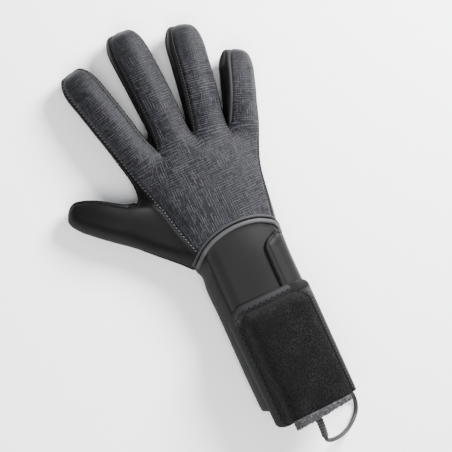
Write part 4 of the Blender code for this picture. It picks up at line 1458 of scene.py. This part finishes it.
class Wire:
    """One value in a shader, that can be used in an expression."""

    def __init__(self, finish, socket):
        self.finish = finish
        self.socket = socket

    def maths(self, operation, *others):
        return self.finish.node("ShaderNodeMath", {"operation": operation}, self, *others)

    __add__ = __radd__ = operator("ADD")
    __mul__ = __rmul__ = operator("MULTIPLY")
    __sub__ = operator("SUBTRACT")
    __truediv__ = operator("DIVIDE")
    __gt__ = operator("GREATER_THAN")
    larger = operator("MAXIMUM")
    sine = operator("SINE")
    floor = operator("FLOOR")
    fraction = operator("FRACT")
    absolute = operator("ABSOLUTE")

    def __rsub__(self, other):
        return self * -1 + other

    def between(self, low, high):
        """0 at low, 1 at high, and smooth in between."""
        settings = {"interpolation_type": "SMOOTHSTEP"}
        return self.finish.node("ShaderNodeMapRange", settings, self, low, high, 0, 1)


class Finish:
    """A material for one slot of the glove."""

    def __init__(self, name):
        self.material = bpy.data.materials.new(name)
        self.material.use_nodes = True
        self.tree = self.material.node_tree
        self.shader = self.tree.nodes["Principled BSDF"]

    def node(self, kind, settings=(), *values, output=0):
        made = self.tree.nodes.new(kind)
        for key, value in dict(settings).items():
            setattr(made, key, value)
        inputs = [socket for socket in made.inputs if socket.enabled]
        for socket, value in zip(inputs, values):
            self.feed(socket, value)
        return Wire(self, [socket for socket in made.outputs if socket.enabled][output])

    def feed(self, socket, value):
        if isinstance(value, Wire):
            self.tree.links.new(value.socket, socket)
        elif value is not None:
            socket.default_value = value

    def set(self, **values):
        for key, value in values.items():
            self.feed(self.shader.inputs[key.replace("_", " ").title().replace("Ior", "IOR")], value)

    def place(self):
        """The place on the piece, in metres."""
        return self.node("ShaderNodeTexCoord", output=3)

    def named(self, name):
        """The three parts of an attribute that the mesh carries."""
        vector = self.node("ShaderNodeAttribute", {"attribute_name": name}, output=1)
        return self.parts(vector)

    def parts(self, vector):
        split = self.tree.nodes.new("ShaderNodeSeparateXYZ")
        self.feed(split.inputs[0], vector)
        return [Wire(self, socket) for socket in split.outputs]

    def joined(self, x, y, z=0.0):
        return self.node("ShaderNodeCombineXYZ", (), x, y, z)

    def noise(self, vector, scale, detail=2.0, roughness=0.5):
        return self.node("ShaderNodeTexNoise", {}, vector, scale, detail, roughness)

    def cells(self, vector, scale):
        return self.node("ShaderNodeTexVoronoi", {}, vector, scale)

    def random(self, vector):
        return self.node("ShaderNodeTexWhiteNoise", {"noise_dimensions": "3D"}, vector)

    def mix(self, factor, first, second):
        return self.node("ShaderNodeMix", {"data_type": "RGBA"}, factor, first, second)

    def bump(self, height, distance, strength=1.0):
        made = self.tree.nodes.new("ShaderNodeBump")
        made.inputs["Strength"].default_value = strength
        made.inputs["Distance"].default_value = distance
        self.feed(made.inputs["Height"], height)
        self.feed(self.shader.inputs["Normal"], Wire(self, made.outputs[0]))


def grey(value, blue=1.05):
    return (value, value, value * blue, 1.0)


def give(finish, *objects):
    for obj in objects:
        obj.data.materials.clear()
        obj.data.materials.append(finish.material)


# %% [markdown]
# The back's fabric has raised light threads on a dark ground. The threads run across each finger in
# short steps, and here and there they turn to run along it, like a maze. The cloth numbers give the two
# directions. White noise per row and per step breaks the threads, and a slow noise picks the patches
# that turn. Short links join two threads here and there. A picture of the fabric would need a flat copy
# of it, and none exists.

# %% The ribbed fabric
RIB_PITCH = 0.0018
RIB_STEP = 0.0075
LINK_PITCH = 0.55 * RIB_PITCH


def threads(finish, row, along, seed, missing):
    """How much of a broken thread shows at a place. row crosses the threads, and along follows them."""
    number = row.floor()
    shift = finish.random(finish.joined(number, seed, 0.0)) * 3.0
    steps = along + shift
    chance = finish.random(finish.joined(number, steps.floor(), seed + 7.0))
    here = chance > missing
    ends = (steps.fraction() - 0.5).absolute().between(0.5, 0.42)
    line = (row.fraction() - 0.5).absolute().between(0.26, 0.10)
    return line * here * ends * (chance * 0.7 + 0.3)


def ribbed():
    finish = Finish("ribbed_fabric")
    across, along, strength = finish.named("cloth")
    flat = finish.joined(across, along)
    waves = finish.noise(flat, 45.0, 1.0) * 0.0020
    rows = threads(finish, (along + waves) / RIB_PITCH, across / RIB_STEP, 1.0, 0.18)
    columns = threads(finish, (across + waves) / RIB_PITCH, along / RIB_STEP, 2.0, 0.25)
    patch = finish.noise(flat, 70.0, 1.0)
    toward_thumb = (across * -1.0 + 0.010).between(-0.008, 0.022) * along.between(0.085, 0.055)
    lengthwise = (patch + toward_thumb * 0.30).between(0.52, 0.62)
    links = finish.random(finish.joined((across / LINK_PITCH).floor(), (along / RIB_PITCH).floor(), 9.0))
    link = (links > 0.80) * ((across / LINK_PITCH).fraction() - 0.5).absolute().between(0.36, 0.2)
    pattern = (rows * (1.0 - lengthwise * 0.6)).larger(columns * (lengthwise * 0.65 + 0.35))
    pattern = pattern.larger(link * 0.55)
    worn = finish.noise(flat, 260.0, 2.0).between(0.30, 0.62)
    # strength, the cloth's third number, is painted shade: it fades the light threads towards the
    # fingertips and on the thumb's shaded side. worn is random wear.
    shown = pattern * strength * (worn * 0.5 + 0.5)
    fine = finish.noise(finish.place(), 1800.0, 2.0)
    ground = finish.mix(fine, grey(0.0024, 1.3), grey(0.0054, 1.3))
    colour = finish.mix(shown, ground, grey(0.037, 1.18))
    finish.set(base_color=colour, roughness=0.62, sheen_weight=0.04, specular_ior_level=0.12)
    finish.bump(shown + fine * 0.12, 0.00035, 0.75)
    return finish


def satin(name, dark, light, roughness, shine, grain=0.00006, scale=1500.0):
    """Smooth rubber-like cloth with a very fine grain."""
    finish = Finish(name)
    place = finish.place()
    broad = finish.noise(place, 38.0, 3.0)
    fine = finish.noise(place, scale, 2.0)
    finish.set(base_color=finish.mix(broad, grey(dark), grey(light)), roughness=broad * 0.12 + roughness,
               specular_ior_level=shine)
    finish.bump(fine + broad * 1.2, grain, 0.6)
    return finish


def speckled(name, dark, light, scale, grain):
    """Fuzzy cloth: a dark ground with light specks."""
    finish = Finish(name)
    place = finish.place()
    speck = finish.noise(place, scale, 3.0, 0.7).between(0.44, 0.66)
    broad = finish.noise(place, 55.0, 2.0).between(0.3, 0.7)
    colour = finish.mix(speck * (broad * 0.6 + 0.4), grey(dark), grey(light))
    finish.set(base_color=colour, roughness=0.95, sheen_weight=0.03, specular_ior_level=0.12)
    finish.bump(speck + finish.cells(place, scale * 0.8) * 0.6, grain, 0.9)
    return finish


def thread(name, value):
    """Twisted sewing thread."""
    finish = Finish(name)
    place = finish.place()
    x, y, z = finish.parts(place)
    twist = ((x + y + z) * 9000.0).sine() * 0.5 + 0.5
    fine = finish.noise(place, 900.0)
    finish.set(base_color=finish.mix(fine, grey(value * 0.7), grey(value * 1.2)), roughness=0.7,
               specular_ior_level=0.1)
    finish.bump(twist, 0.00005, 0.7)
    return finish


# %% Give each piece its material
# The numbers are the dark and light greys, the roughness, the shine, and the grain's height and fineness.
SATINS = {
    "black_neoprene": ((0.0010, 0.0020, 0.50, 0.09), [palm, thumb]),
    "side_wall_neoprene": ((0.0015, 0.003, 0.55, 0.13), side_walls),
    "cuff_neoprene": ((0.0018, 0.0032, 0.52, 0.145), [cuff]),
    "padded_neoprene": ((0.0030, 0.0052, 0.52, 0.125), [patch]),
    "border_neoprene": ((0.0100, 0.0140, 0.58, 0.10), [base]),
    "flap_neoprene": ((0.0036, 0.0056, 0.56, 0.12), [flap, binding_edge]),
    "rolled_seam": ((0.012, 0.022, 0.60, 0.12), [little_roll]),
    "welded_tape": ((0.020, 0.048, 0.50, 0.18, 0.00012, 900.0), [lower_band]),
    "tape_edge": ((0.012, 0.030, 0.52, 0.14, 0.00012, 900.0), [upper_band]),
    "lead_rubber": ((0.019, 0.028, 0.42, 0.3, 0.00003, 900.0), [boot]),
    "cable_jacket": ((0.009, 0.014, 0.42, 0.25, 0.00003, 900.0), [lead]),
    "battery_case": ((0.006, 0.009, 0.38, 0.4, 0.00003, 900.0), [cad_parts["battery_pack"]]),
}
for name, (values, pieces) in SATINS.items():
    give(satin(name, *values), *pieces)
give(ribbed(), back)
give(speckled("loop_fabric", 0.0009, 0.012, 1000.0, 0.0003), pouch_cloth, pouch_fuzz)
give(speckled("felt", 0.045, 0.15, 700.0, 0.0005), felt, felt_fuzz)
give(thread("light_thread", 0.07), radial_row, flap_row)
give(thread("dim_thread", 0.055), finger_row)
give(thread("dark_thread", 0.0012), thumb_row, tape_row, patch_row, border_row)
print(len(bpy.data.materials), "materials")

# %% [markdown]
# ## Light
# The photograph was lit by large soft lights over a white ground. A wide lamp on the right gives the
# long soft highlights on the cuff. A weaker one over the thumb's side lights the left of the pocket,
# and a pale world fills the shadows.

# %% Light the glove
LAMPS = [
    ("key", (0.70, 0.40, 0.62), (0, 0.04, 0.02), 0.50, 52.0),
    ("top", (-0.35, -0.35, 0.95), (0, 0.02, 0.02), 0.7, 15.0),
]
for name, place, target, size, power in LAMPS:
    light = bpy.data.lights.new(name, "AREA")
    light.shape = "DISK"
    light.size = size
    light.energy = power
    lamp = linked(name, light)
    lamp.location = place
    lamp.rotation_euler = (Vector(target) - Vector(place)).to_track_quat("-Z", "Y").to_euler()
world = bpy.data.worlds.new("studio")
world.use_nodes = True
background = world.node_tree.nodes["Background"]
background.inputs["Color"].default_value = (0.93, 0.95, 1.0, 1.0)
background.inputs["Strength"].default_value = 0.75
bpy.context.scene.world = world

FLOOR_HALF = 1.6
FLOOR_HEIGHT = -0.0002
floor_corners = [(-FLOOR_HALF, -FLOOR_HALF), (FLOOR_HALF, -FLOOR_HALF), (FLOOR_HALF, FLOOR_HALF),
                 (-FLOOR_HALF, FLOOR_HALF)]
floor_mesh = bpy.data.meshes.new("floor")
floor_mesh.from_pydata([(x, y, FLOOR_HEIGHT) for x, y in floor_corners], [], [(0, 1, 2, 3)])
floor = linked("floor", floor_mesh)
paper = Finish("paper")
paper.set(base_color=grey(0.93, 1.0), roughness=0.95, specular_ior_level=0.0)
floor_mesh.materials.append(paper.material)
